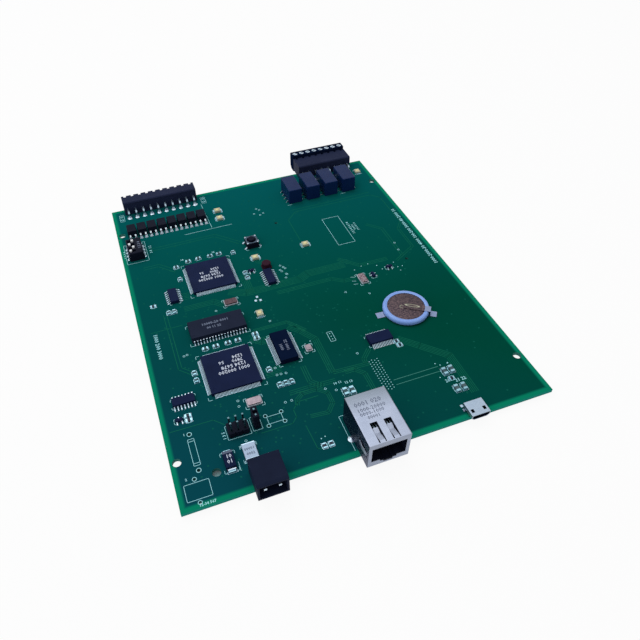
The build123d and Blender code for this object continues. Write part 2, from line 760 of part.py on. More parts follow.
top_tab_turn = -34.0
low_tab_turn = 176.0
can_r = cell_can_d / 2
ring_r = cell_d / 2 + sleeve_t
ring_top = cell_t + sleeve_t
pad_z = -cell_lift
with BuildPart() as cell_tabs:
    # the upper tab lies on the can, steps over the sleeve and comes down to its pad
    with BuildSketch(upright(cell_base.rotated((0, 0, top_tab_turn)), 0)):
        with BuildLine():
            Polyline((-tab_in, cell_t), (can_r - 1.0, cell_t), (can_r - 0.2, ring_top),
                     (ring_r + 0.3, ring_top), (ring_r + 0.5, pad_z), (tab_out, pad_z),
                     (tab_out, pad_z + tab_t), (ring_r + 0.7, pad_z + tab_t),
                     (ring_r + 0.5, ring_top + tab_t), (can_r - 0.4, ring_top + tab_t),
                     (can_r - 1.2, cell_t + tab_t), (-tab_in, cell_t + tab_t), close=True)
        make_face()
    extrude(amount=tab_w / 2, both=True)
    # the lower tab is welded under the can
    with BuildSketch(upright(cell_base.rotated((0, 0, low_tab_turn)), 0)):
        with BuildLine():
            Polyline((-tab_in, 0), (can_r + 1.4, 0), (ring_r + 0.7, pad_z + tab_t), (tab_out, pad_z + tab_t),
                     (tab_out, pad_z), (ring_r + 0.6, pad_z), (can_r + 1.3, -tab_t), (-tab_in, -tab_t),
                     close=True)
        make_face()
    extrude(amount=tab_w / 2, both=True)
finish(cell_tabs, "cell_tabs")


# ---- surface-mount leads -------------------------------------------------------------
def gull_leads(chip, sides, root, tip, rise, count, pitch, width, thick=lead_t, footed=True):
    """Rows of gull-wing leads: root at the body's wall, rise up to the root, tip on the pad."""
    planes = []
    for turn in sides:
        row = chip.rotated((0, 0, turn))
        planes += [upright(row, 0, across) for across in steps(count, pitch)]
    heel = [(root + (tip - root) * foot_start, 0)] if footed else []
    with BuildPart() as leads:
        with BuildSketch(*planes):
            with BuildLine():
                Polyline((root, rise + thick), (tip, thick), (tip, 0), *heel, (root, rise), close=True)
            make_face()
        extrude(amount=width / 2, both=True)
    return leads


def chip_body(chip, length, width, height, lift, mark=0.0):
    """Moulded package: walls with draft, and a shallow round mark at the first lead's corner."""
    with BuildPart() as body:
        with BuildSketch(chip.offset(lift)):
            Rectangle(length, width)
        extrude(amount=height, taper=chip_draft)
        if mark:
            with BuildSketch(chip.offset(lift + height)):
                with Locations((-length / 2 + 2 * mark, -width / 2 + 2 * mark)):
                    RegularPolygon(mark, 6)
            extrude(amount=-0.1, mode=Mode.SUBTRACT)
    return body


four_sides = (0, 90, 180, 270)
for name, place in (("upper", upper_chip), ("lower", lower_chip)):
    chip = spot(*place)
    finish(chip_body(chip, quad_body, quad_body, quad_h, seat_gap, 0.8), name + "_processor")
    finish(gull_leads(chip, four_sides, quad_body / 2, quad_span / 2, 0.6, quad_leads, quad_pitch,
                      quad_lead_w, footed=False), name + "_processor_leads")

driver = spot(*driver_chip)
finish(chip_body(driver, driver_w, driver_l, driver_h, seat_gap, 0.5), "bus_driver")
finish(gull_leads(driver, (0, 180), driver_w / 2, driver_span / 2, 0.9, driver_leads, driver_pitch, 0.26),
       "bus_driver_leads")

# the memory's leads roll under its body
memory = spot(*memory_chip)
finish(chip_body(memory, memory_l, memory_w, memory_h - memory_lift, memory_lift, 0.6), "memory_chip")
with BuildPart() as memory_chip_leads:
    memory_rows = [upright(memory.rotated((0, 0, side)), 0, across)
                   for side in (90, 270) for across in steps(memory_leads, so_pitch)]
    with BuildSketch(*memory_rows):
        with BuildLine():
            Polyline((memory_w / 2, 2.0), (memory_w / 2 + 0.45, 1.9), (memory_w / 2 + 0.35, 0.25),
                     (memory_w / 2 - 0.2, 0), (memory_w / 2 - 0.9, 0.2), (memory_w / 2, 0.6), close=True)
        make_face()
    extrude(amount=memory_lead_w / 2, both=True)
finish(memory_chip_leads, "memory_chip_leads")

with BuildPart() as logic_chips:
    for x, y, turn, length, width, height, span, count, pitch, lead_w in small_chips:
        add(chip_body(spot(x, y, 0, turn), length, width, height - seat_gap, seat_gap, 0.3).part)
    for x, y, turn in small_transistors:
        add(chip_body(spot(x, y, 0, turn), transistor_l, transistor_w, transistor_h, seat_gap).part)
finish(logic_chips, "logic_chips")

with BuildPart() as logic_chip_leads:
    for x, y, turn, length, width, height, span, count, pitch, lead_w in small_chips:
        add(gull_leads(spot(x, y, 0, turn), (90, 270), width / 2, span / 2, height * 0.45, count, pitch,
                       lead_w).part)
    for x, y, turn in small_transistors:
        place = spot(x, y, 0, turn)
        add(gull_leads(place, (90,), transistor_w / 2, transistor_w / 2 + 0.6, 0.45, 1, 1.9, 0.45).part)
        add(gull_leads(place, (270,), transistor_w / 2, transistor_w / 2 + 0.6, 0.45, 2, 1.9, 0.45).part)
finish(logic_chip_leads, "logic_chip_leads")

# ---- relays and optocouplers ---------------------------------------------------------
relay_draft = 1.0           # degrees
relay_corner = 0.45
relay_bevel = 0.2
for index, x in enumerate(steps(relay_count, relay_pitch)):
    with BuildPart() as relay:
        with BuildSketch(spot(relay_x + x, relay_y, seat_gap)):
            Rectangle(relay_w, relay_l)
            chamfer(vertices(), relay_corner)
        extrude(amount=relay_h, taper=relay_draft)
        chamfer(relay.faces().sort_by(Axis.Z)[-1].edges(), relay_bevel)
    finish(relay, f"relay_{index + 1}")

with BuildPart() as relay_leads_group:
    for x in steps(relay_count, relay_pitch):
        add(gull_leads(spot(relay_x + x, relay_y), (0, 180), relay_w / 2, relay_w / 2 + relay_reach, 0.8,
                       relay_leads, relay_lead_pitch, 0.5, 0.25).part)
finish(relay_leads_group, "relay_leads")

opto_spots = [(opto_x + x, opto_y) for x in steps(opto_count, opto_pitch)]
with BuildPart() as optocouplers:
    for x, y in opto_spots:
        add(chip_body(spot(x, y), opto_w, opto_l, opto_h, seat_gap).part)
finish(optocouplers, "optocouplers")
with BuildPart() as optocoupler_leads:
    for x, y in opto_spots:
        add(gull_leads(spot(x, y), (90, 270), opto_l / 2, opto_l / 2 + opto_reach, 1.3, 2, post_pitch,
                       opto_lead_w, 0.25).part)
finish(optocoupler_leads, "optocoupler_leads")

# ---- four-way slide switch -----------------------------------------------------------
dip = spot(dip_x, dip_y)
dip_rows = steps(dip_poles, dip_pitch)[::-1]
knob_travel = dip_slot_w - dip_knob - 2 * dip_play
with BuildPart() as dip_switch:
    with BuildSketch(dip.offset(seat_gap)):
        Rectangle(dip_w, dip_l)
    extrude(amount=dip_h - seat_gap)
    chamfer(dip_switch.faces().sort_by(Axis.Z)[-1].edges(), 0.25)
    with BuildSketch(dip.offset(dip_h)):
        with Locations(*[(dip_slot_shift, y) for y in dip_rows]):
            Rectangle(dip_slot_w, dip_slot_l)
    extrude(amount=-dip_slot_deep, mode=Mode.SUBTRACT)
finish(dip_switch, "dip_switch")

for index, y in enumerate(dip_rows):
    knob_x = dip_slot_shift + dip_settings[index] * knob_travel / 2
    with BuildPart() as slider:
        with BuildSketch(spot(dip_x + knob_x, dip_y + y, dip_h - dip_slot_deep + 0.05)):
            Rectangle(dip_knob, dip_slot_l - 2 * dip_play)
        extrude(amount=dip_slot_deep + dip_knob_up - 0.05)
        chamfer(slider.faces().sort_by(Axis.Z)[-1].edges(), 0.15)
    finish(slider, f"dip_slider_{index + 1}")

dip_pin_out = (dip_row + dip_pin_t) / 2
with BuildPart() as dip_switch_pins:
    for side in (0, 180):
        row = dip.rotated((0, 0, side))
        with BuildSketch(*[upright(row, 0, y) for y in dip_rows]):
            with BuildLine():
                Polyline((dip_w / 2, 2.2), (dip_pin_out, 2.0), (dip_pin_out, -board_t - pin_below),
                         (dip_pin_out - dip_pin_t, -board_t - pin_below), (dip_pin_out - dip_pin_t, 1.85),
                         (dip_w / 2, 1.95), close=True)
            make_face()
        extrude(amount=dip_pin_w / 2, both=True)
finish(dip_switch_pins, "dip_switch_pins")

# ---- reset key -----------------------------------------------------------------------
key = spot(key_x, key_y)
key_top = key_base_h + key_cover_t
with BuildPart() as key_base:
    with BuildSketch(key.offset(seat_gap)):
        Rectangle(key_w, key_w)
    extrude(amount=key_base_h - seat_gap)
    chamfer(key_base.edges().filter_by(Axis.Z), 0.4)
    with BuildSketch(key.offset(key_base_h)):
        Circle(key_button_d / 2 + 2 * key_play)
    extrude(amount=-key_well_deep, mode=Mode.SUBTRACT)
finish(key_base, "key_base")

with BuildPart() as key_cover:
    with BuildSketch(key.offset(key_base_h)):
        Rectangle(key_w - 0.2, key_w - 0.2)
        Circle(key_button_d / 2 + key_ring, mode=Mode.SUBTRACT)
    extrude(amount=key_cover_t)
    with BuildSketch(key.offset(key_top)):
        with Locations(*[(x, y) for x in (-key_rivet, key_rivet) for y in (-key_rivet, key_rivet)]):
            RegularPolygon(0.35, 6)
    extrude(amount=0.12)
finish(key_cover, "key_cover")

with BuildPart() as key_button:
    with BuildSketch(key.offset(key_base_h - key_well_deep + key_travel + 0.1)):
        Circle(key_button_d / 2)
    extrude(amount=key_well_deep - key_travel - 0.1 + key_cover_t + key_button_up)
    chamfer(key_button.faces().sort_by(Axis.Z)[-1].edges(), 0.2)
finish(key_button, "key_button")

finish(gull_leads(key, (0, 180), key_w / 2, key_w / 2 + key_lead_out, 0.6, 2, 4.5, 0.7, 0.2), "key_leads")


# ---- pin headers and the jumper ------------------------------------------------------
def post_header(centre_x, centre_y, columns, rows):
    """Moulded strip of square cells with chamfered corners between them."""
    with BuildPart() as strip:
        for column in steps(columns, post_pitch):
            with BuildSketch(spot(centre_x + column, centre_y)):
                Rectangle(post_pitch, rows * post_pitch)
                chamfer(vertices(), 0.4)
                with Locations(*[(0, y) for y in steps(rows, post_pitch)]):
                    Rectangle(post, post, mode=Mode.SUBTRACT)
            extrude(amount=post_base_h)
    return strip


with BuildPart() as header_blocks:
    add(post_header(block_x, block_y, block_columns, block_rows).part)
    add(post_header(jumper_x, jumper_y, 1, jumper_posts).part)
finish(header_blocks, "header_blocks")

post_spots = [(block_x + x, block_y + y) for x in steps(block_columns, post_pitch)
              for y in steps(block_rows, post_pitch)]
post_spots += [(jumper_x, jumper_y + y) for y in steps(jumper_posts, post_pitch)]
with BuildPart() as header_posts:
    for x, y in post_spots:
        with BuildSketch(spot(x, y, -board_t - pin_below)):
            Rectangle(post, post)
    extrude(amount=board_t + pin_below + post_up)
finish(header_posts, "header_posts")

with BuildPart() as jumper_shunt:
    with BuildSketch(spot(jumper_x, jumper_y, post_base_h + shunt_lift)):
        Rectangle(shunt_w, shunt_l)
    extrude(amount=shunt_h)
    chamfer(jumper_shunt.edges().filter_by(Axis.Z), 0.3)
    with BuildSketch(spot(jumper_x, jumper_y, post_base_h + shunt_lift)):
        with Locations(*[(0, y) for y in steps(jumper_posts, post_pitch)]):
            Rectangle(post + 2 * shunt_play, post + 2 * shunt_play)
    extrude(amount=shunt_h, mode=Mode.SUBTRACT)
    with BuildSketch(spot(jumper_x, jumper_y, post_base_h + shunt_lift + shunt_h)):
        Rectangle(shunt_w - 0.7, 1.1)
    extrude(amount=-1.6, mode=Mode.SUBTRACT)
finish(jumper_shunt, "jumper_shunt")

# ---- crystals, fuse, diode, inductor -------------------------------------------------
with BuildPart() as crystal_bases:
    for x, y, length, width in crystals:
        with BuildSketch(spot(x, y)):
            Rectangle(length, width)
    extrude(amount=crystal_base_h)
finish(crystal_bases, "crystal_bases")
with BuildPart() as crystal_lids:
    for x, y, length, width in crystals:
        with BuildSketch(spot(x, y, crystal_base_h)):
            Rectangle(length - 2 * crystal_rim, width - 2 * crystal_rim)
    extrude(amount=crystal_lid_h)
    chamfer(crystal_lids.edges().filter_by(Axis.Z), 0.4)
finish(crystal_lids, "crystal_lids")

fuse_place = spot(fuse_x, fuse_y)
with BuildPart() as fuse:
    with BuildSketch(fuse_place.offset(seat_gap)):
        Rectangle(fuse_w, fuse_l - 2 * fuse_cap)
    extrude(amount=fuse_h - seat_gap)
    chamfer(fuse.edges().filter_by(Axis.Y), 0.15)
finish(fuse, "fuse")
with BuildPart() as fuse_ends:
    with BuildSketch(fuse_place):
        with Locations((0, (fuse_l - fuse_cap) / 2), (0, (fuse_cap - fuse_l) / 2)):
            Rectangle(fuse_w, fuse_cap)
    extrude(amount=fuse_h)
finish(fuse_ends, "fuse_ends")

diode_place = spot(diode_x, diode_y)
finish(chip_body(diode_place, diode_w, diode_l, diode_h - seat_gap, seat_gap), "power_diode")
with BuildPart() as power_diode_straps:
    with BuildSketch(*[upright(diode_place.rotated((0, 0, turn)), 0) for turn in (90, 270)]):
        with BuildLine():
            Polyline((diode_l / 2, 1.2), (diode_l / 2 + 0.35, 1.1), (diode_l / 2 + 0.35, 0.2),
                     (diode_l / 2 + diode_strap_out, 0.2), (diode_l / 2 + diode_strap_out, 0),
                     (diode_l / 2, 0), close=True)
        make_face()
    extrude(amount=diode_strap_w / 2, both=True)
finish(power_diode_straps, "power_diode_straps")

with BuildPart() as inductor:
    with BuildSketch(spot(coil_x, coil_y)):
        Rectangle(coil_w, coil_w)
        chamfer(vertices(), 0.9)
    extrude(amount=coil_foot)
    with BuildSketch(spot(coil_x, coil_y, coil_foot)):
        RegularPolygon(coil_w / 2 - 0.15, 14)
    extrude(amount=coil_h - coil_foot)
    chamfer(inductor.faces().sort_by(Axis.Z)[-1].edges(), 0.3)
finish(inductor, "inductor")

# ---- chip parts and lamps ------------------------------------------------------------
with BuildPart() as capacitor_bodies:
    for x, y, turn in capacitors:
        with BuildSketch(spot(x, y, 0, turn)):
            Rectangle(chip_l - 2 * chip_cap, chip_w)
    extrude(amount=chip_h)
    for x, y, turn in large_capacitors:
        with BuildSketch(spot(x, y, 0, turn)):
            Rectangle(large_l - 2 * large_cap, large_w)
    extrude(amount=large_h)
finish(capacitor_bodies, "capacitor_bodies")

with BuildPart() as resistor_bodies:
    for x, y, turn in resistors:
        with BuildSketch(spot(x, y, 0, turn)):
            Rectangle(chip_l - 2 * chip_cap, chip_w)
    extrude(amount=resistor_h)
finish(resistor_bodies, "resistor_bodies")

with BuildPart() as lamp_bodies:
    for x, y, turn in lamps:
        with BuildSketch(spot(x, y, 0, turn)):
            Rectangle(lamp_l, lamp_w)
    extrude(amount=lamp_h)
finish(lamp_bodies, "lamp_bodies")

with BuildPart() as lamp_lenses:
    for x, y, turn in lamps:
        with BuildSketch(spot(x, y, lamp_h, turn)):
            RegularPolygon(lamp_lens_d / 2, 10)
    extrude(amount=lamp_lens_h)
finish(lamp_lenses, "lamp_lenses")

# plated end caps of the chip parts, and the lamps' end terminals
end_kinds = (
    (capacitors, (chip_l - chip_cap) / 2, chip_cap, chip_w, chip_h),
    (resistors, (chip_l - chip_cap) / 2, chip_cap, chip_w, resistor_h),
    (large_capacitors, (large_l - large_cap) / 2, large_cap, large_w, large_h),
    (lamps, (lamp_l + lamp_end) / 2, lamp_end, lamp_w * 0.75, lamp_end_h),
)
with BuildPart() as chip_ends:
    for places, reach, length, width, height in end_kinds:
        for x, y, turn in places:
            with BuildSketch(spot(x, y, 0, turn)):
                with Locations((reach, 0), (-reach, 0)):
                    Rectangle(length, width)
        extrude(amount=height)
finish(chip_ends, "chip_ends")
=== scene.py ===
import json
import math
import random

import bmesh
import bpy
from mathutils import Euler, Matrix, Vector


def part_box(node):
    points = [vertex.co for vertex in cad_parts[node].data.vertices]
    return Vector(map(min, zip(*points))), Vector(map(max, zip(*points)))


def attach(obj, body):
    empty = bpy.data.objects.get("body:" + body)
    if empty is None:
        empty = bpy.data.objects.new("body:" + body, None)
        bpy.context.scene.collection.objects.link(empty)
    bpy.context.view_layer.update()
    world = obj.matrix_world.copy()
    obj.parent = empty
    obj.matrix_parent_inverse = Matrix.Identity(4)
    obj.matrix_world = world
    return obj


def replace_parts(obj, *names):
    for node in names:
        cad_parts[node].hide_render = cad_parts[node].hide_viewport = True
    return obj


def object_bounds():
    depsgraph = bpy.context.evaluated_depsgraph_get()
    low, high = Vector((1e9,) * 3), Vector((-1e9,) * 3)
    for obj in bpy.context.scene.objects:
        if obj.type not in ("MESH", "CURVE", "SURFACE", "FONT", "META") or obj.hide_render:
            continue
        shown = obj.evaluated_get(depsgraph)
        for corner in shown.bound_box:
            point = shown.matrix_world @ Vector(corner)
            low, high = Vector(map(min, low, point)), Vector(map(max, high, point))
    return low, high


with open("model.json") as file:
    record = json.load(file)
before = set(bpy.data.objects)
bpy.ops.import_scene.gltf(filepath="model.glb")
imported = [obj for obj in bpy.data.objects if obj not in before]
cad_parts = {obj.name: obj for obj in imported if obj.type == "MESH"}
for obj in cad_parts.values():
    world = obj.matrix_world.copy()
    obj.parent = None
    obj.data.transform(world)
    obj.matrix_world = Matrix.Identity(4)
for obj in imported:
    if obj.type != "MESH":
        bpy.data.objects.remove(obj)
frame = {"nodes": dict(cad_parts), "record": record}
cadLow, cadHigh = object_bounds()
mm = 0.001
boardLow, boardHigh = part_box("circuit_board")
boardWidth = (boardHigh.x - boardLow.x) / mm
boardLength = (boardHigh.y - boardLow.y) / mm
print("frame loaded:", len(frame["nodes"]), "nodes")

cameraSetup = {
    "place": (-0.061706, -0.182916, 0.179599),
    "turn": (45.169, 1.096, -19.880),    # degrees
    "lens": 32.814,
    "sensor": 36.0,
    "shift": (0.0332, -0.0147),
    "nearest": 0.01,
}
lensData = bpy.data.cameras.new("studioCamera")
lensData.lens = cameraSetup["lens"]
lensData.sensor_width = cameraSetup["sensor"]
lensData.shift_x, lensData.shift_y = cameraSetup["shift"]
lensData.clip_start = cameraSetup["nearest"]
camera = bpy.data.objects.new("studioCamera", lensData)
camera.location = cameraSetup["place"]
camera.rotation_euler = Euler([math.radians(angle) for angle in cameraSetup["turn"]])
bpy.context.scene.collection.objects.link(camera)
bpy.context.scene.camera = camera
bpy.context.scene.view_settings.view_transform = "Standard"


def tint(red, green, blue):    # screen colour, 0 to 255, as the linear colour a shader reads
    linear = [value / 255 / 12.92 if value < 11 else ((value / 255 + 0.055) / 1.055) ** 2.4
              for value in (red, green, blue)]
    return (*linear, 1.0)


class Signal:    # one socket, so that shader maths reads as plain expressions
    def __init__(self, graph, socket):
        self.graph = graph
        self.socket = socket

    def maths(self, operation, first, second):
        return self.graph.node("Math", {"operation": operation}, {0: first, 1: second})

    def __add__(self, other):
        return self.maths("ADD", self, other)

    def __sub__(self, other):
        return self.maths("SUBTRACT", self, other)

    def __rsub__(self, other):
        return self.maths("SUBTRACT", other, self)

    def __mul__(self, other):
        return self.maths("MULTIPLY", self, other)

    def __rmul__(self, other):
        return self.maths("MULTIPLY", other, self)

    def __gt__(self, other):
        return self.maths("GREATER_THAN", self, other)

    def __lt__(self, other):
        return self.maths("LESS_THAN", self, other)

    def __abs__(self):
        return self.maths("ABSOLUTE", self, 0.0)

    def __and__(self, other):    # the smaller of two masks
        return self.maths("MINIMUM", self, other)

    def __or__(self, other):     # the larger of two masks
        return self.maths("MAXIMUM", self, other)


class Graph:    # a node tree: node() adds any node, plug() sets or links an input
    def __init__(self, tree):
        self.tree = tree

    def node(self, kind, settings=None, inputs=None, out=0):
        made = self.tree.nodes.new("ShaderNode" + kind)
        for key, value in (settings or {}).items():
            setattr(made, key, value)
        for key, value in (inputs or {}).items():
            self.plug(made.inputs[key], value)
        return Signal(self, made.outputs[out])

    def plug(self, socket, value):
        if isinstance(value, Signal):
            self.tree.links.new(value.socket, socket)
        else:
            socket.default_value = value


class Finish(Graph):    # one material: feed() drives its Principled shader
    def __init__(self, name, **fixed):
        self.material = bpy.data.materials.new(name)
        self.material.use_nodes = True
        super().__init__(self.material.node_tree)
        self.shader = self.tree.nodes["Principled BSDF"]
        self.place = self.node("TexCoord", out="Object")
        self.feed(**fixed)

    def feed(self, **sockets):
        for key, value in sockets.items():
            self.plug(self.shader.inputs[key.replace("_", " ")], value)

    def mix(self, factor, first, second):
        return self.node("Mix", {"data_type": "RGBA"}, {0: factor, 6: first, 7: second}, 2)

    def noise(self, scale, detail=2.0, stretch=None):    # scale: how many clouds in a metre
        place = self.place
        if stretch:
            place = self.node("Mapping", {}, {"Vector": place, "Scale": stretch})
        return self.node("TexNoise", {}, {"Vector": place, "Scale": scale, "Detail": detail}, "Fac")

    def bump(self, height, depth, strength=1.0):
        self.feed(Normal=self.node("Bump", {}, {"Height": height, "Distance": depth * mm,
                                                "Strength": strength}, "Normal"))


def mouldedPlastic(name, colour, shade, roughness=0.45, gloss=0.03, grain=2600.0):
    finish = Finish(name, Specular_IOR_Level=gloss)
    cloud = finish.noise(180.0, 3.0)
    speck = finish.noise(grain, 2.0)
    finish.feed(Base_Color=finish.mix(cloud, tint(*colour), tint(*shade)),
                Roughness=speck * 0.22 + (roughness - 0.1))
    finish.bump(speck, 0.012)
    return finish.material


def platedMetal(name, colour, shade, roughness=0.3, metallic=1.0):
    finish = Finish(name, Metallic=metallic)
    smear = finish.noise(900.0, 3.0)
    patch = finish.noise(160.0, 2.0)
    finish.feed(Base_Color=finish.mix(patch, tint(*colour), tint(*shade)),
                Roughness=smear * 0.25 + (roughness - 0.1))
    finish.bump(smear, 0.006)
    return finish.material


def axesOf(finish):    # the place on the surface, as three signals in metres
    parts = finish.node("SeparateXYZ", {}, {"Vector": finish.place}).socket.node
    return [Signal(finish, socket) for socket in parts.outputs]


laminateLook = {    # colours, then lengths in mm
    # the far and near tints are painted sheen, not the mask's own colour
    "overCopper": (2, 80, 65), "overCopperDeep": (1, 69, 56), "farSheen": (5, 92, 94),
    "nearSheen": (10, 74, 86), "bare": (10, 134, 104), "edge": (44, 158, 144),
    "edgeDeep": (30, 140, 126), "hole": (66, 128, 122),
    "margin": 1.8, "marginBlur": 0.5, "farStart": -30.0, "farEnd": 85.0, "skin": 0.03, "rim": 0.4,
}


def laminateFinish():
    look = laminateLook
    finish = Finish("laminate", Specular_IOR_Level=0.0)
    across, along, height = axesOf(finish)
    sideways = boardWidth * mm / 2 - abs(across - (boardLow.x + boardHigh.x) / 2)
    endways = boardLength * mm / 2 - abs(along - (boardLow.y + boardHigh.y) / 2)
    inset = sideways & endways
    start = (look["margin"] - look["marginBlur"]) * mm
    end = (look["margin"] + look["marginBlur"]) * mm
    copper = finish.node("MapRange", {}, {"Value": inset, "From Min": start, "From Max": end})
    cloud = finish.noise(26.0, 3.0)
    mottle = finish.noise(700.0, 2.0)
    weave = finish.node("TexWave", {"bands_direction": "Z"}, {"Vector": finish.place, "Scale": 2600.0,
                                                              "Distortion": 1.5}, "Fac")
    mask = finish.mix(cloud * 0.75 + mottle * 0.25, tint(*look["overCopper"]),
                      tint(*look["overCopperDeep"]))
    # painted sheen: towards the far end and towards the near-left corner the mask is mixed to lighter,
    # bluer greens
    far = finish.node("MapRange", {}, {"Value": along, "From Min": look["farStart"] * mm,
                                       "From Max": look["farEnd"] * mm})
    near = finish.node("MapRange", {}, {"Value": -1.0 * (across + along), "From Min": 0.0,
                                        "From Max": boardWidth * mm})
    mask = finish.mix(far, finish.mix(near, mask, tint(*look["nearSheen"])), tint(*look["farSheen"]))
    top = finish.mix(copper, tint(*look["bare"]), mask)
    underFace = boardLow.z + look["skin"] * mm
    upperFace = boardHigh.z - look["skin"] * mm
    wall = (height > underFace) & (height < upperFace)
    drilled = wall & (inset > look["rim"] * mm)
    cut = finish.mix(weave, tint(*look["edge"]), tint(*look["edgeDeep"]))
    skin = finish.mix(wall, top, cut)
    # the drilled walls are plated (half metallic); their teal colour is painted shade of the hole's
    # inside
    finish.feed(Base_Color=finish.mix(drilled, skin, tint(*look["hole"])),
                Metallic=drilled * 0.5, Roughness=mottle * 0.12 + wall * 0.3 + 0.26)
    finish.bump(mottle, 0.01, 0.6)
    return finish.material


laminate = laminateFinish()
maskTrace = mouldedPlastic("maskTrace", (30, 114, 90), (14, 100, 78), 0.5, 0.0)
brightTrace = mouldedPlastic("brightTrace", (92, 164, 154), (60, 138, 126), 0.5, 0.0)
maskRing = mouldedPlastic("maskRing", (26, 106, 92), (12, 92, 80), 0.5, 0.0)
# painted shade for the inside of the small test holes
ringShade = mouldedPlastic("ringShade", (4, 44, 44), (2, 34, 36), 0.5, 0.0)
silkInk = mouldedPlastic("silkInk", (190, 250, 255), (160, 234, 250), 0.6, 0.0)
chipInk = mouldedPlastic("chipInk", (236, 244, 255), (204, 218, 246), 0.6, 0.0)
dullInk = mouldedPlastic("dullInk", (150, 162, 186), (112, 124, 150), 0.6, 0.0)
faintInk = mouldedPlastic("faintInk", (116, 126, 148), (84, 94, 116), 0.6, 0.0)
solder = platedMetal("solder", (214, 228, 240), (158, 180, 198), 0.26)
chipEnd = platedMetal("chipEnd", (166, 204, 218), (108, 156, 172), 0.3, 0.9)
# a brighter copy of the lead tin, for the optocoupler leads only: painted highlight
highlitLeadTin = platedMetal("highlitLeadTin", (236, 250, 255), (200, 226, 240), 0.32, 0.6)
tin = platedMetal("tin", (178, 200, 214), (136, 160, 178), 0.34)
postMetal = platedMetal("postMetal", (96, 124, 132), (62, 88, 98), 0.34)
paleSheet = platedMetal("paleSheet", (166, 182, 198), (142, 158, 178), 0.36, 0.9)
blackPlastic = mouldedPlastic("blackPlastic", (26, 30, 46), (16, 20, 34))
memoryPlastic = mouldedPlastic("memoryPlastic", (35, 42, 63), (26, 33, 52), 0.5)
chipPlastic = mouldedPlastic("chipPlastic", (25, 37, 74), (16, 26, 56), 0.42)
headerPlastic = mouldedPlastic("headerPlastic", (41, 48, 76), (29, 36, 60), 0.5)
powerPlastic = mouldedPlastic("powerPlastic", (30, 38, 62), (20, 26, 46), 0.5)
relayPlastic = mouldedPlastic("relayPlastic", (20, 46, 92), (8, 28, 76), 0.26, 0.1, 1500.0)
whitePlastic = mouldedPlastic("whitePlastic", (250, 252, 255), (236, 242, 248))
lampLens = mouldedPlastic("lampLens", (242, 232, 184), (226, 212, 146), 0.3, 0.4)
lampCase = mouldedPlastic("lampCase", (206, 208, 190), (176, 178, 152), 0.5)
fuseBody = mouldedPlastic("fuseBody", (190, 212, 238), (170, 192, 220), 0.35, 0.2)
diodeBody = mouldedPlastic("diodeBody", (22, 36, 72), (12, 22, 50))
coilFerrite = mouldedPlastic("coilFerrite", (62, 30, 46), (40, 22, 36))
ceramicTan = mouldedPlastic("ceramicTan", (96, 116, 120), (50, 78, 88), 0.5)
sealRing = mouldedPlastic("sealRing", (208, 216, 226), (166, 178, 192), 0.4, 0.2)
resistorGlaze = mouldedPlastic("resistorGlaze", (24, 40, 62), (14, 26, 44), 0.3, 0.2)
sleeveFilm = mouldedPlastic("sleeveFilm", (146, 184, 250), (120, 158, 236), 0.3, 0.3, 700.0)
plugPlastic = mouldedPlastic("plugPlastic", (16, 30, 58), (10, 20, 46), 0.42, 0.0)


shieldLook = {    # colours, then lengths in mm from the shield's near-left corner
    # the wall colours are painted reflection of a dark room, the seam lines painted highlight, the far
    # top colour painted reflection
    "top": (162, 170, 188), "topShade": (138, 148, 168), "farTopReflection": (118, 128, 140),
    "wall": (34, 44, 80), "wallReflectionDeep": (14, 20, 50), "seamHighlight": (120, 134, 164),
    "fadeStart": 12.0, "fadeEnd": 21.0, "bulge": 0.5, "wallReach": 0.1, "seamEnd": 9.0,
}


def shieldFinish():    # the left wall is a painted reflection of a dark room, crossed by painted highlight lines; the top gets a painted reflection that darkens it towards its far end
    look = shieldLook
    finish = Finish("nickelSheet", Metallic=0.9)
    across, along = axesOf(finish)[:2]
    smear = finish.noise(900.0, 3.0, (0.15, 1.0, 1.0))
    patch = finish.noise(160.0, 2.0)
    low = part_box("jack_shield")[0]
    wallFace = low.x + look["bulge"] * mm
    wall = abs(across - wallFace) < look["wallReach"] * mm
    line = finish.node("TexWave", {"bands_direction": "Z"}, {"Vector": finish.place, "Scale": 260.0,
                                                             "Distortion": 2.0}, "Fac")
    # painted reflection of a dark room on the wall, with painted highlight lines near the front
    side = finish.mix(patch, tint(*look["wall"]), tint(*look["wallReflectionDeep"]))
    side = finish.mix((line > 0.93) & (along < low.y + look["seamEnd"] * mm), side, tint(*look["seamHighlight"]))
    # painted reflection: the top darkens towards its far end
    fade = finish.node("MapRange", {}, {"Value": along, "From Min": low.y + look["fadeStart"] * mm,
                                        "From Max": low.y + look["fadeEnd"] * mm})
    sheet = finish.mix(patch, tint(*look["top"]), tint(*look["topShade"]))
    sheet = finish.mix(fade, sheet, tint(*look["farTopReflection"]))
    finish.feed(Base_Color=finish.mix(wall, sheet, side), Roughness=smear * 0.25 + 0.32)
    finish.bump(smear, 0.006)
    return finish.material


def keyFinish():    # a shaded frame with bright corners
    finish = Finish("keyFrame", Metallic=0.6)
    across, along = axesOf(finish)[:2]
    low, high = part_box("key_cover")
    centre = (low + high) / 2
    reach = 2.1 * mm    # from the middle to where a corner starts
    corner = (abs(across - centre.x) > reach) & (abs(along - centre.y) > reach)
    cloud = finish.noise(500.0, 3.0)
    shaded = finish.mix(cloud, tint(66, 86, 104), tint(34, 50, 68))
    finish.feed(Base_Color=finish.mix(corner, shaded, tint(170, 184, 198)), Roughness=cloud * 0.2 + 0.3)
    return finish.material


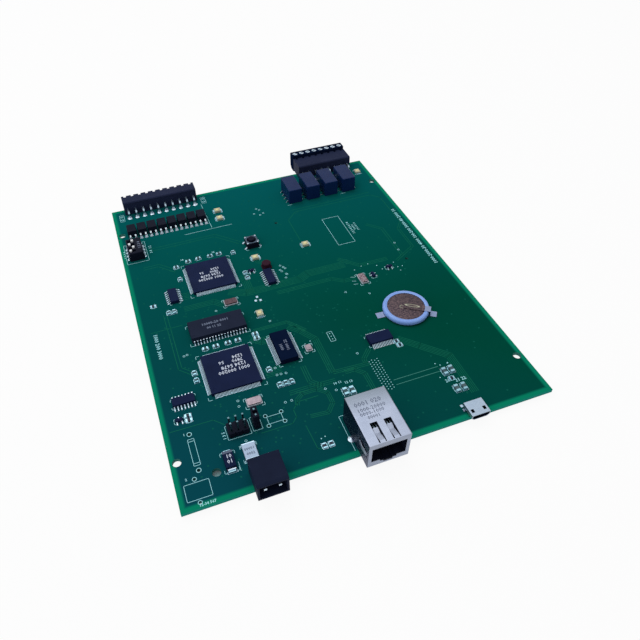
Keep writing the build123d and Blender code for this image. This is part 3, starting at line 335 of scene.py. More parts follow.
def usbFinish():    # pale sheet outside, painted shade within the mouth
    finish = Finish("usbSheet", Metallic=0.9)
    across, along, height = axesOf(finish)
    low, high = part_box("usb_shell")
    centre = (low.x + high.x) / 2
    sheet, halfMouth = 0.2 * mm, 3.5 * mm
    inside = (abs(across - centre) < halfMouth) & (height > low.z + sheet) & (height < high.z - sheet)
    mouthShade = inside & (along > low.y + 0.03 * mm) & (along < high.y - 0.1 * mm)
    cloud = finish.noise(400.0, 3.0)
    pale = finish.mix(cloud, tint(166, 182, 198), tint(142, 158, 178))
    finish.feed(Base_Color=finish.mix(mouthShade, pale, tint(10, 16, 40)), Roughness=cloud * 0.2 + 0.3)
    return finish.material


def cellFinish(name, canReach):    # within canReach of the cell's axis the steel gets a dark brown-grey painted reflection of dark surroundings, silver beyond
    finish = Finish(name, Metallic=0.8)
    low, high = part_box("coin_cell")
    centre = (low + high) / 2
    moved = finish.node("Mapping", {}, {"Vector": finish.place,
                                        "Location": (-centre.x, -centre.y, 0.0)})
    rings = finish.node("TexWave", {"wave_type": "RINGS", "rings_direction": "Z"},
                        {"Vector": moved, "Scale": 900.0, "Distortion": 0.6}, "Fac")
    cloud = finish.noise(240.0, 3.0)
    flat = finish.node("VectorMath", {"operation": "MULTIPLY"}, {0: moved, 1: (1.0, 1.0, 0.0)})
    reach = finish.node("VectorMath", {"operation": "LENGTH"}, {0: flat}, "Value")
    fleck = finish.noise(1500.0, 2.0)
    # painted reflection: the can's steel darkened to brown-grey with dark flecks
    darkReflectedSteel = finish.mix(cloud * 0.5 + (fleck * 2.0 - 0.7), tint(104, 86, 88), tint(26, 24, 40))
    finish.feed(Base_Color=finish.mix(reach > canReach * mm, darkReflectedSteel, tint(126, 140, 172)),
                Roughness=rings * 0.08 + cloud * 0.12 + 0.34)
    finish.bump(rings, 0.004)
    return finish.material


def crystalFinish():    # lids further from the camera get a painted reflection of the dark side of the room
    finish = Finish("crystalLid", Metallic=0.7)
    across, along = axesOf(finish)[:2]
    dark = (along > 0.0) & (across < 0.0)
    cloud = finish.noise(700.0, 3.0)
    fleck = finish.noise(2400.0, 1.0)
    pale = finish.mix(cloud, tint(158, 142, 148), tint(108, 100, 112))
    pale = finish.mix((fleck > 0.56) & (across > 0.0), pale, tint(88, 52, 56))
    deep = finish.mix(cloud, tint(92, 66, 72), tint(34, 26, 34))
    finish.feed(Base_Color=finish.mix(dark, pale, deep), Roughness=cloud * 0.2 + 0.28)
    return finish.material


cellCan = cellFinish("cellCan", 12.0)
cellTab = cellFinish("cellTab", 8.0)
crystalLid = crystalFinish()
nickelSheet = shieldFinish()
keyMetal = keyFinish()
usbSheet = usbFinish()
print("finishes made:", len(bpy.data.materials))


# Shape helpers take millimetres from the board's near-left corner and its top face.
def spot(x, y, z=0.0):
    return Vector((boardLow.x + x * mm, boardLow.y + y * mm, boardHigh.z + z * mm))


def boardPlace(corner):    # a frame corner in metres, as board millimetres
    return Vector(((corner.x - boardLow.x) / mm, (corner.y - boardLow.y) / mm,
                   (corner.z - boardHigh.z) / mm))


def makePiece(name, shape, finish, body="board", smooth=None):
    bmesh.ops.remove_doubles(shape, verts=shape.verts, dist=1e-7)
    bmesh.ops.recalc_face_normals(shape, faces=shape.faces)
    mesh = bpy.data.meshes.new(name)
    shape.to_mesh(mesh)
    shape.free()
    mesh.materials.append(finish)
    if smooth:
        mesh.polygons.foreach_set("use_smooth", [True] * len(mesh.polygons))
        mesh.set_sharp_from_angle(angle=math.radians(smooth))
    piece = bpy.data.objects.new(name, mesh)
    bpy.context.scene.collection.objects.link(piece)
    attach(piece, body)
    return piece


def addBlock(shape, low, high, turn=0.0, pinch=1.0):    # pinch draws the top in
    low, high = Vector(low), Vector(high)
    centre = spot(*((low + high) / 2))
    size = (high - low) * mm
    place = Matrix.Translation(centre) @ Matrix.Rotation(math.radians(turn), 4, "Z")
    made = bmesh.ops.create_cube(shape, size=1.0, matrix=place @ Matrix.Diagonal((*size, 1.0)))["verts"]
    if pinch != 1.0:
        upper = [vert for vert in made if vert.co.z > centre.z]
        bmesh.ops.scale(shape, verts=upper, vec=(pinch, pinch, 1.0), space=Matrix.Translation(-centre))


def addStrip(shape, start, end, width, low, high):
    start, end = Vector(start), Vector(end)
    run = end - start
    middle = (start + end) / 2
    half = Vector(((run.length + width) / 2, width / 2))
    near, far = middle - half, middle + half
    addBlock(shape, (near.x, near.y, low), (far.x, far.y, high), math.degrees(math.atan2(run.y, run.x)))


def addLine(shape, points, width, low, high):
    for start, end in zip(points, points[1:]):
        addStrip(shape, start, end, width, low, high)


def addTurned(shape, centre, profile, sides):    # a closed profile of (radius, height), spun upright
    corners = [shape.verts.new(centre + Vector((radius * mm, 0.0, height * mm)))
               for radius, height in profile]
    edges = [shape.edges.new(pair) for pair in zip(corners, corners[1:] + corners[:1])]
    bmesh.ops.spin(shape, geom=corners + edges, cent=centre, axis=(0.0, 0.0, 1.0), angle=math.tau,
                   steps=sides, use_merge=True)


def addRing(shape, x, y, inner, outer, low, high, sides):
    addTurned(shape, spot(x, y), ((inner, low), (outer, low), (outer, high), (inner, high)), sides)


def sidestep(points, distance):    # the same path, moved sideways with mitred corners
    path = [Vector(point) for point in points]
    moved = []
    for index, point in enumerate(path):
        before = (point - path[index - 1]).normalized() if index else (path[1] - point).normalized()
        after = (path[index + 1] - point).normalized() if index < len(path) - 1 else before
        way = (before + after).normalized()
        side = Vector((-way.y, way.x))
        moved.append(point + side * distance / max(0.5, way.dot(before)))
    return moved


def solidsOf(node):    # the low and high corner of each solid in a CAD node, in board mm
    shape = bmesh.new()
    shape.from_mesh(frame["nodes"][node].data)
    bmesh.ops.remove_doubles(shape, verts=shape.verts, dist=1e-6)
    seen = set()
    boxes = []
    for first in shape.verts:
        if first in seen:
            continue
        seen.add(first)
        group = [first]
        for vert in group:
            for edge in vert.link_edges:
                other = edge.other_vert(vert)
                if other not in seen:
                    seen.add(other)
                    group.append(other)
        low = Vector([min(vert.co[axis] for vert in group) for axis in range(3)])
        high = Vector([max(vert.co[axis] for vert in group) for axis in range(3)])
        boxes.append((boardPlace(low), boardPlace(high)))
    shape.free()
    return boxes


carried = {    # node: finish, edge width in mm (0 keeps the node itself), name of the softened piece
    "circuit_board": (laminate, 0.0, ""),
    "wiring_header": (headerPlastic, 0.12, "wiringHousing"),
    "wiring_header_pins": (tin, 0.0, ""),
    "plug_header": (headerPlastic, 0.12, "plugHousing"),
    "plug_header_pins": (tin, 0.0, ""),
    "screw_plug": (plugPlastic, 0.12, "screwTerminal"),
    "clamp_screws": (solder, 0.0, ""),
    "clamp_cages": (paleSheet, 0.0, ""),
    "power_header": (powerPlastic, 0.15, "powerHousing"),
    "power_header_pins": (solder, 0.0, ""),
    "jack_shield": (nickelSheet, 0.05, "jackCover"),
    "jack_insert": (blackPlastic, 0.0, ""),
    "jack_contacts": (tin, 0.0, ""),
    "usb_shell": (usbSheet, 0.06, "usbCase"),
    "usb_tongue": (blackPlastic, 0.0, ""),
    "cell_tabs": (cellTab, 0.0, ""),
    "upper_processor": (chipPlastic, 0.08, "upperProcessorCase"),
    "upper_processor_leads": (tin, 0.0, ""),
    "lower_processor": (chipPlastic, 0.08, "lowerProcessorCase"),
    "lower_processor_leads": (tin, 0.0, ""),
    "memory_chip": (memoryPlastic, 0.1, "memoryCase"),
    "memory_chip_leads": (solder, 0.0, ""),
    "bus_driver": (plugPlastic, 0.1, "busDriverCase"),
    "bus_driver_leads": (tin, 0.0, ""),
    "logic_chips": (chipPlastic, 0.06, "logicCases"),
    "logic_chip_leads": (tin, 0.0, ""),
    "relay_leads": (postMetal, 0.0, ""),
    "optocouplers": (blackPlastic, 0.1, "couplerCases"),
    "optocoupler_leads": (highlitLeadTin, 0.0, ""),
    "dip_switch": (blackPlastic, 0.08, "slideSwitchCase"),
    "dip_switch_pins": (tin, 0.0, ""),
    "key_base": (blackPlastic, 0.06, "keyBase"),
    "key_cover": (keyMetal, 0.05, "keyFrame"),
    "key_button": (blackPlastic, 0.0, ""),
    "key_leads": (solder, 0.0, ""),
    "header_blocks": (blackPlastic, 0.08, "postBlocks"),
    "header_posts": (postMetal, 0.0, ""),
    "jumper_shunt": (blackPlastic, 0.12, "jumperCap"),
    "crystal_bases": (sealRing, 0.0, ""),
    "crystal_lids": (crystalLid, 0.08, "crystalCans"),
    "fuse": (fuseBody, 0.06, "fuseCase"),
    "fuse_ends": (tin, 0.0, ""),
    "power_diode": (diodeBody, 0.1, "diodeCase"),
    "power_diode_straps": (solder, 0.0, ""),
    "inductor": (coilFerrite, 0.12, "coilBody"),
    "capacitor_bodies": (ceramicTan, 0.0, ""),
    "resistor_bodies": (resistorGlaze, 0.0, ""),
    "lamp_bodies": (lampCase, 0.0, ""),
    "chip_ends": (chipEnd, 0.0, ""),
}
for number in range(1, 5):
    carried[f"relay_{number}"] = (relayPlastic, 0.12, f"relayCase{number}")
    carried[f"dip_slider_{number}"] = (whitePlastic, 0.05, f"switchSlider{number}")

bevelLook = {"flat": 1, "sharp": 28, "segments": 2, "profile": 0.5}    # angles in degrees
bodyOf = {node: body for body, nodes in frame["record"]["behaviour"]["bodies"].items() for node in nodes}


def softenNode(node, finish, width, name):    # a copy of the node with narrow rounded edges
    shape = bmesh.new()
    shape.from_mesh(frame["nodes"][node].data)
    bmesh.ops.remove_doubles(shape, verts=shape.verts, dist=1e-6)
    bmesh.ops.dissolve_limit(shape, angle_limit=math.radians(bevelLook["flat"]), verts=shape.verts,
                             edges=shape.edges)
    sharp = [edge for edge in shape.edges
             if len(edge.link_faces) == 2 and edge.calc_face_angle() > math.radians(bevelLook["sharp"])]
    bmesh.ops.bevel(shape, geom=sharp, offset=width * mm, offset_type="OFFSET", affect="EDGES",
                    segments=bevelLook["segments"], profile=bevelLook["profile"], material=-1,
                    clamp_overlap=True)
    piece = makePiece(name, shape, finish, bodyOf[node])
    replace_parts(piece, node)


for node, (finish, width, name) in carried.items():
    if width:
        softenNode(node, finish, width, name)
    else:
        mesh = frame["nodes"][node].data
        mesh.materials.clear()
        mesh.materials.append(finish)
print("nodes finished:", len(carried))


cellLook = {"sides": 72, "canRadius": 8.1, "roll": 0.45}
cellBox = [boardPlace(corner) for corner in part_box("coin_cell")]
sleeveBox = [boardPlace(corner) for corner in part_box("cell_sleeve")]
cellX, cellY = (cellBox[0].x + cellBox[1].x) / 2, (cellBox[0].y + cellBox[1].y) / 2
cellRadius = (cellBox[1].x - cellBox[0].x) / 2
sleeveRadius = (sleeveBox[1].x - sleeveBox[0].x) / 2

can = bmesh.new()
top, low, rim = cellBox[1].z, cellBox[0].z, cellLook["canRadius"]
addTurned(can, spot(cellX, cellY), (
    (0.0, low), (rim - 0.3, low), (rim, low + 0.3), (cellRadius, low + 0.5),
    (cellRadius, top - 0.7), (cellRadius - 0.3, top - 0.25), (rim - 0.1, top - 0.1),
    (rim - 0.5, top), (0.0, top)), cellLook["sides"])
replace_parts(makePiece("cellCanister", can, cellCan, smooth=35), "coin_cell")

sleeve = bmesh.new()
high, base, roll = sleeveBox[1].z, sleeveBox[0].z, cellLook["roll"]
addTurned(sleeve, spot(cellX, cellY), (
    (cellRadius + 0.02, base + 0.1), (sleeveRadius - 0.1, base), (sleeveRadius, base + roll),
    (sleeveRadius, high - 2.2 * roll), (sleeveRadius - 0.25 * roll, high - 1.2 * roll),
    (sleeveRadius - 0.9 * roll, high - 0.35 * roll), (sleeveRadius - 1.8 * roll, high),
    (rim + 0.9, high), (rim + 0.35, high - 0.12), (rim, top), (cellRadius - 0.1, top - 0.08),
    (cellRadius + 0.02, top - 0.5)), cellLook["sides"])
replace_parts(makePiece("cellSleeveFilm", sleeve, sleeveFilm, smooth=60), "cell_sleeve")


def addOval(shape, centre, length, width, stroke, low, high, turn, sides=20):    # a flat oval ring
    loop = bmesh.new()
    addRing(loop, 0.0, 0.0, 1.0 - 2 * stroke / width, 1.0, low, high, sides)
    bmesh.ops.translate(loop, vec=-spot(0.0, 0.0), verts=loop.verts)
    place = Matrix.Translation(spot(*centre)) @ Matrix.Rotation(math.radians(turn), 4, "Z")
    stretch = Matrix.Diagonal((length / 2, width / 2, 1.0, 1.0))
    bmesh.ops.transform(loop, matrix=place @ stretch, verts=loop.verts)
    made = bpy.data.meshes.new("oval")
    loop.to_mesh(made)
    loop.free()
    shape.from_mesh(made)
    bpy.data.meshes.remove(made)


weldTurn = -34.0
weldOvals = (    # centre, length, width, stroke, low and high above the can
    ((112.7, 57.0), 6.6, 1.5, 0.2, 0.19, 0.25),
    ((108.6, 58.2), 2.2, 1.8, 0.14, -0.02, 0.03),
)
weld = bmesh.new()
for centre, length, width, stroke, low, high in weldOvals:
    addOval(weld, centre, length, width, stroke, cellBox[1].z + low, cellBox[1].z + high, weldTurn)
makePiece("weldOutline", weld, lampCase)
print("coin cell made")


lampLook = {"radius": 0.96, "sides": 16}
domes = bmesh.new()
for low, high in solidsOf("lamp_lenses"):
    centre = (low + high) / 2
    reach, rise = lampLook["radius"], high.z - low.z
    addTurned(domes, spot(centre.x, centre.y, low.z), (
        (0.0, 0.0), (reach, 0.0), (reach * 0.94, rise * 0.5), (reach * 0.7, rise * 0.86),
        (reach * 0.35, rise * 0.98), (0.0, rise)), lampLook["sides"])
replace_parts(makePiece("lampDomes", domes, lampLens, smooth=60), "lamp_lenses")


layer = {"trace": 0.022, "ink": 0.03, "pad": 0.045, "sink": -0.01}    # heights from the board's face
inkWidth = 0.155
traceWidth = {"top": 0.24, "pair": 0.2, "under": 0.28}
tracePaths = (    # path in board mm, number of lines, gap between lines
    (((99.4, 44.0), (106.0, 37.4), (114.6, 28.6), (114.6, 9.5)), 5, 0.75),
    (((59.5, 66.5), (63.5, 62.5), (67.8, 56.0), (67.8, 37.0)), 4, 0.8),
    (((68.0, 37.0), (83.0, 36.2)), 3, 0.8),
    (((72.4, 35.4), (76.4, 35.4), (79.4, 32.2), (79.4, 24.0)), 3, 0.8),
    (((45.5, 69.4), (60.1, 69.4), (65.8, 62.0)), 3, 0.7),
    (((41.8, 96.6), (49.0, 93.0), (74.4, 93.0), (79.0, 95.4), (97.4, 95.4)), 6, 0.8),
    (((62.0, 88.0), (88.0, 88.0), (93.0, 84.6), (98.6, 84.6)), 3, 0.9),
    (((48.9, 33.4), (56.6, 33.4), (67.3, 33.0)), 3, 0.9),
    (((2.6, 32.0), (18.6, 31.8), (22.0, 28.4)), 1, 0.8),
    (((58.4, 28.6), (50.4, 28.6), (47.6, 25.8), (47.6, 22.4), (45.4, 20.2), (33.6, 20.2)), 1, 0.8),
    (((49.5, 17.6), (50.1, 7.4), (52.0, 6.2)), 1, 0.8),
    (((4.6, 83.2), (17.8, 83.4)), 1, 0.8),
    (((22.2, 100.4), (24.6, 100.4)), 5, 1.0),
    (((12.2, 92.0), (12.2, 60.0), (18.2, 54.0)), 2, 1.4),
    (((48.6, 104.0), (51.0, 101.4), (51.0, 92.0)), 5, 0.8),
    (((43.4, 66.0), (46.8, 62.6), (50.4, 62.6)), 6, 0.7),
    (((43.2, 45.6), (49.6, 45.6)), 6, 0.8),
    (((20.8, 92.6), (34.0, 92.6), (37.6, 89.0)), 4, 0.9),
    (((8.6, 126.0), (15.6, 126.0), (22.6, 119.0)), 2, 1.6),
    (((12.0, 139.0), (46.0, 139.0), (56.0, 129.0)), 2, 1.8),
    (((60.0, 118.0), (60.0, 112.0), (64.0, 108.0)), 3, 0.9),
    (((96.0, 100.0), (104.0, 92.0), (118.0, 92.0)), 3, 0.9),
    (((120.0, 120.0), (126.0, 114.0), (126.0, 92.0)), 2, 1.2),
    (((58.0, 44.0), (58.0, 36.0), (62.0, 32.0)), 3, 0.9),
    (((86.0, 43.0), (82.0, 39.0), (82.0, 37.0)), 3, 0.8),
    (((89.2, 145.4), (110.4, 145.4), (133.2, 146.0)), 1, 0.8),
    (((49.7, 27.1), (50.4, 29.6), (53.2, 31.6), (59.0, 31.6), (62.4, 28.6), (62.4, 23.6),
      (59.4, 20.2), (52.6, 20.8)), 3, 0.7),
    (((84.5, 120.1), (84.5, 137.6), (90.1, 143.4), (133.0, 143.4), (137.0, 139.1),
      (137.0, 115.5)), 1, 0.8),
    (((137.0, 115.5), (133.6, 111.0), (133.6, 96.0), (121.8, 89.2)), 2, 1.0),
)


def addBundles(shape, paths, width, low, high):    # each path as a number of lines side by side
    for path, count, gap in paths:
        for index in range(count):
            addLine(shape, sidestep(path, (index - (count - 1) / 2) * gap), width, low, high)


traces = bmesh.new()
addBundles(traces, tracePaths, traceWidth["top"], layer["sink"], layer["trace"])
makePiece("maskedTraces", traces, maskTrace)
pair = bmesh.new()
pairLook = {"left": 88.4, "right": 107.4, "far": 25.2, "near": 22.8}
for y in (pairLook["far"], pairLook["near"]):
    addLine(pair, ((pairLook["left"], y), (pairLook["right"], y)), traceWidth["pair"], layer["sink"],
            layer["trace"])
makePiece("tracePair", pair, brightTrace)

boxes = {node: solidsOf(node) for node in (
    "upper_processor", "lower_processor", "memory_chip", "bus_driver", "logic_chips", "optocouplers",
    "dip_switch", "key_base", "header_blocks", "crystal_bases", "fuse", "power_diode", "inductor",
    "capacitor_bodies", "resistor_bodies", "lamp_bodies", "jack_shield", "usb_shell", "wiring_header",
    "plug_header", "power_header", "coin_cell", "relay_1", "relay_2", "relay_3", "relay_4")}

ink = bmesh.new()


def addInk(points, width=inkWidth):
    addLine(ink, points, width, layer["sink"], layer["ink"])


def addFrameLine(low, high, grow=0.0):
    left, near, right, far = low[0] - grow, low[1] - grow, high[0] + grow, high[1] + grow
    addInk(((left, near), (right, near), (right, far), (left, far), (left, near)))


def addCorners(low, high, grow, leg):    # an angle at each corner of a footprint
    for x, wayX in ((low.x - grow, 1), (high.x + grow, -1)):
        for y, wayY in ((low.y - grow, 1), (high.y + grow, -1)):
            addInk(((x + wayX * leg, y), (x, y), (x, y + wayY * leg)))


cornerMarks = {    # node: distance outside the body, length of each leg
    "upper_processor": (1.6, 1.3), "lower_processor": (1.6, 1.3), "memory_chip": (0.9, 1.4),
    "bus_driver": (0.9, 1.4), "logic_chips": (0.45, 0.9), "crystal_bases": (0.7, 1.2),
    "key_base": (0.6, 1.1), "lamp_bodies": (0.5, 0.6), "power_diode": (0.7, 1.3), "fuse": (0.7, 1.3),
}
for node, (grow, leg) in cornerMarks.items():
    for low, high in boxes[node]:
        addCorners(low, high, grow, leg)
for node, grow in (("dip_switch", 1.6), ("header_blocks", 0.5)):
    for low, high in boxes[node]:
        addFrameLine(low, high, grow)

barLook = {"gap": 0.42, "overhang": 0.2, "width": 0.16}    # a bar along both bare sides of a chip part
for low, high in boxes["capacitor_bodies"] + boxes["resistor_bodies"]:
    left, right = low.x - barLook["overhang"], high.x + barLook["overhang"]
    near, far = low.y - barLook["overhang"], high.y + barLook["overhang"]
    if high.x - low.x < high.y - low.y:    # the end caps lie to the left and right
        for edge in (low.y - barLook["gap"], high.y + barLook["gap"]):
            addInk(((left, edge), (right, edge)), barLook["width"])
    else:
        for edge in (low.x - barLook["gap"], high.x + barLook["gap"]):
            addInk(((edge, near), (edge, far)), barLook["width"])

inkLines = (
    ((45.7, 168.0), (46.3, 146.0)),
    ((32.2, 145.0), (56.6, 145.2)),
    ((77.4, 2.0), (79.6, 2.0), (79.6, 17.0), (62.0, 17.0), (62.0, 2.0)),
    ((22.6, 8.4), (22.6, 12.0)),
    ((7.9, 16.6), (10.2, 16.6)), ((7.9, 25.7), (10.2, 25.7)),
    ((96.7, 85.8), (98.3, 85.2)), ((96.3, 83.1), (97.9, 82.5)), ((96.1, 80.8), (97.9, 80.5)),
)
for path in inkLines:
    addInk(path)
inkFrames = (((100.7, 109.5), (109.4, 132.0)), ((2.9, 3.2), (11.5, 9.5)), ((7.9, 15.6), (10.2, 26.7)),
             ((37.3, 22.9), (42.8, 26.1)), ((73.4, 52.2), (75.6, 57.6)),
             ((3.4, 167.4), (5.6, 173.2)), ((46.6, 168.6), (48.8, 174.4)))
for low, high in inkFrames:
    addFrameLine(low, high)
inkRing = {"inner": 0.45, "outer": 0.68, "sides": 12}
for x, y in ((4.5, 168.9), (4.5, 171.7), (47.7, 170.1), (47.7, 172.9)):
    addRing(ink, x, y, inkRing["inner"], inkRing["outer"], layer["sink"], layer["ink"], inkRing["sides"])
relayMark = {"half": 1.2, "gap": 0.7}
for low, high in boxes["relay_1"] + boxes["relay_4"]:
    y = low.y - relayMark["gap"]
    addInk(((low.x - relayMark["half"], y), (low.x + relayMark["half"], y)))
inkDots = (
    (100.4, 89.8), (104.4, 91.2), (107.9, 91.6), (111.3, 89.0), (112.7, 85.9), (119.6, 88.4),
    (120.1, 84.7), (122.4, 84.7), (120.2, 82.1), (108.7, 25.5), (111.8, 25.4), (107.2, 26.8),
    (112.1, 25.6), (105.6, 20.0), (63.5, 52.8), (62.9, 54.8), (65.4, 55.6), (54.3, 11.0),
    (52.7, 10.6), (55.4, 7.9), (52.6, 7.9), (74.5, 53.4), (74.5, 55.0), (74.5, 56.6),
)
dotGrid = {    # a footprint left bare
    "x": 83.4, "y": 21.6, "columns": 4, "rows": 13, "stepX": 1.2, "stepY": 1.27, "stagger": 0.5,
}
dotHalf = {"loose": 0.2, "grid": 0.16}


def addDot(x, y, half):
    addBlock(ink, (x - half, y - half, layer["sink"]), (x + half, y + half, layer["ink"]))


for x, y in inkDots:
    addDot(x, y, dotHalf["loose"])
for column in range(dotGrid["columns"]):
    for row in range(dotGrid["rows"]):
        addDot(dotGrid["x"] + dotGrid["stepX"] * column,
               dotGrid["y"] + dotGrid["stepY"] * row + dotGrid["stagger"] * (column % 2), dotHalf["grid"])

digitLook = {"bolder": 0.025, "steps": 1}


def addDigits(shape, words, x, y, size, turn=0.0, base=0.0):    # plain numbers, centred on their place
    curve = bpy.data.curves.new("digits", "FONT")
    curve.body = words
    curve.size = size * mm
    curve.align_x = "CENTER"
    curve.align_y = "CENTER"
    curve.resolution_u = digitLook["steps"]
    curve.offset = digitLook["bolder"] * mm    # so that small numbers still read
    curve.extrude = (layer["ink"] - layer["sink"]) / 2 * mm
    holder = bpy.data.objects.new("digits", curve)
    flat = bpy.data.meshes.new_from_object(holder)
    place = Matrix.Translation(spot(x, y, base + (layer["ink"] + layer["sink"]) / 2))
    flat.transform(place @ Matrix.Rotation(math.radians(turn), 4, "Z"))
    shape.from_mesh(flat)
    bpy.data.meshes.remove(flat)
    bpy.data.objects.remove(holder)
    bpy.data.curves.remove(curve)


boardNumbers = (    # words, x, y, height, turn
    ("1000-2000-30 4000 100-200 3000-40 2000 10", 138.3, 103.9, 2.5, 90),
    ("1000 200 3000", 6.0, 74.8, 2.4, -90),
    ("1 2 3 4 5 6 7 8", 111.6, 120.4, 1.7, 90), ("0 0 0 0", 113.2, 120.4, 1.5, 90),
    ("1 0 1 0 1 0", 114.8, 120.4, 1.5, 90), ("12-34 567", 9.2, 0.9, 1.4, 0),
    ("1", 7.2, 29.2, 1.3, 0), ("2", 4.2, 11.5, 1.3, 0), ("1 3 5", 20.7, 23.8, 1.6, 90),
    ("1 2", 14.0, 141.6, 1.8, 90), ("3 4", 14.0, 138.0, 1.8, 90), ("1  2  3  4", 1.6, 139.4, 1.5, 90),
    ("10 11", 67.6, 31.6, 1.5, 0), ("12 13", 71.8, 30.6, 1.5, 0), ("20", 107.6, 17.6, 2.0, 0),
    ("21 22", 112.6, 16.6, 2.0, 0), ("14", 26.6, 126.0, 1.5, 0), ("15", 42.0, 126.4, 1.5, 0),
)
for words, x, y, size, turn in boardNumbers:
    addDigits(ink, words, x, y, size, turn)
makePiece("inkMarks", ink, silkInk)

stamps = bmesh.new()
dull = bmesh.new()
faint = bmesh.new()
chipNumbers = {    # node whose top they lie on: words, x, y, height, turn
    "lower_processor": (("1234", 35.0, 57.4, 2.2, 180), ("56", 28.0, 56.0, 2.2, 180),
                        ("7890", 34.4, 55.4, 2.2, 180), ("1234 5678", 32.4, 53.2, 2.4, 180),
                        ("0001 000200", 32.0, 50.9, 2.4, 180)),
    "upper_processor": (("1234", 39.6, 112.8, 2.0, 180), ("56", 33.0, 111.6, 2.0, 180),
                        ("7890", 38.8, 111.0, 2.0, 180), ("1234 5678", 36.8, 109.0, 2.2, 180),
                        ("0001 000200", 36.4, 106.8, 2.2, 180)),
    "power_diode": (("10", 19.9, 13.9, 2.1, 0), ("01", 19.9, 11.8, 2.1, 0)),
}
dullNumbers = {
    "memory_chip": (("10000-20 0001", 31.0, 77.0, 1.9, 0), ("00 11 22", 30.0, 74.6, 1.7, 0)),
    "bus_driver": (("1000 22", 55.2, 55.0, 1.8, 90), ("0001", 52.9, 54.6, 1.8, 90)),
    "dip_switch": (("1 2 3 4", 9.2, 139.4, 1.9, 90),),
    "logic_chips": (("1000 22", 62.0, 99.0, 1.5, 90), ("100000", 92.4, 47.4, 1.5, 0),
                    ("0001", 92.4, 45.4, 1.5, 0)),
}
faintNumbers = {
    "fuse": (("00001", 27.5, 14.9, 1.5, 0), ("0002", 27.5, 12.9, 1.5, 0)),
    "jack_shield": (("0001 020", 69.9, 11.0, 2.7, 0), ("1000-20000", 70.2, 8.5, 2.2, 0),
                    ("0000-1000", 69.7, 6.7, 2.1, 0), ("00001", 69.6, 4.9, 1.9, 0)),
}
bandLook = {"side": 0.2, "start": 1.2, "end": 0.3}    # the pale band across the diode's far end
low, high = boxes["power_diode"][0]
addBlock(faint, (low.x + bandLook["side"], high.y - bandLook["start"], high.z + layer["sink"]),
         (high.x - bandLook["side"], high.y - bandLook["end"], high.z + layer["ink"]))
printSink = {"jack_shield": 0.027}    # its top is the model's highest face, so the print on it is flush
for numbers, shape in ((chipNumbers, stamps), (dullNumbers, dull), (faintNumbers, faint)):
    for node, prints in numbers.items():
        base = boxes[node][0][1].z - printSink.get(node, 0.0)
        for words, x, y, size, turn in prints:
            addDigits(shape, words, x, y, size, turn, base)
makePiece("chipStamps", stamps, chipInk)
makePiece("dullStamps", dull, dullInk)
makePiece("faintStamps", faint, faintInk)
print("ink and traces laid")


def nearestCentre(place, bodies):
    def away(box):
        low, high = box
        return math.hypot(max(low.x - place.x, 0, place.x - high.x),
                          max(low.y - place.y, 0, place.y - high.y))

    low, high = min(bodies, key=away)
    return (low + high) / 2


pads = bmesh.new()
mounds = bmesh.new()
fillets = bmesh.new()
padLook = {"inner": 0.45, "pinch": 0.55}    # inner: the share of a lead that its pad leaves free


def padLeads(leadNode, bodyNode, reach, moundRise=0.0, grow=0.04):    # a pad, and a mound, at each toe
    for low, high in solidsOf(leadNode):
        middle = (low + high) / 2
        away = middle - nearestCentre(middle, boxes[bodyNode])
        lengthwise = 0 if high.x - low.x > high.y - low.y else 1
        way = 1 if away[lengthwise] > 0 else -1
        start, end = Vector(low), Vector(high)
        inner = (high[lengthwise] - low[lengthwise]) * padLook["inner"]
        if way > 0:
            start[lengthwise] += inner
            end[lengthwise] += reach
        else:
            end[lengthwise] -= inner
            start[lengthwise] -= reach
        other = 1 - lengthwise
        start[other] -= grow
        end[other] += grow
        addBlock(pads, (start.x, start.y, layer["sink"]), (end.x, end.y, layer["pad"]))
        if moundRise:
            addBlock(mounds, (start.x, start.y, 0.0), (end.x, end.y, moundRise), pinch=padLook["pinch"])


boxes["relays"] = sum((boxes[f"relay_{number}"] for number in range(1, 5)), [])
padLeads("upper_processor_leads", "upper_processor", 0.4, grow=0.02)
padLeads("lower_processor_leads", "lower_processor", 0.4, grow=0.02)
padLeads("memory_chip_leads", "memory_chip", 0.5, moundRise=0.5, grow=0.06)
padLeads("bus_driver_leads", "bus_driver", 0.4, grow=0.02)
padLeads("logic_chip_leads", "logic_chips", 0.45, moundRise=0.32)
padLeads("optocoupler_leads", "optocouplers", 1.05, moundRise=1.2, grow=0.5)
padLeads("key_leads", "key_base", 0.2, moundRise=0.28, grow=0.08)
padLeads("relay_leads", "relays", 0.2, grow=0.05)

filletReach = Vector((0.28, 0.24))    # solder round an end cap, and its pad
padReach = Vector((0.34, 0.3))
filletLook = {"rise": 0.62, "pinch": 0.72}    # rise: a share of the cap's height
for low, high in solidsOf("chip_ends") + solidsOf("fuse_ends") + solidsOf("power_diode_straps"):
    addBlock(fillets, (*(low.xy - filletReach), 0.0),
             (*(high.xy + filletReach), high.z * filletLook["rise"]), pinch=filletLook["pinch"])
    addBlock(pads, (*(low.xy - padReach), layer["sink"]), (*(high.xy + padReach), layer["pad"]))
barePad = {"halfX": 0.5, "halfY": 0.55}    # pads of a part that isn't fitted
for x, y in ((52.7, 88.7), (51.5, 86.6), (53.6, 86.2), (106.3, 5.4)):
    addBlock(pads, (x - barePad["halfX"], y - barePad["halfY"], layer["sink"]),
             (x + barePad["halfX"], y + barePad["halfY"], layer["pad"]))
makePiece("leadPads", pads, tin)
makePiece("solderMounds", mounds, solder)
makePiece("chipFillets", fillets, chipEnd)

jointLook = {"sides": 12, "rise": 0.95, "drop": 1.05, "deepest": 1.38}
joints = bmesh.new()
underside = -(boardHigh.z - boardLow.z) / mm


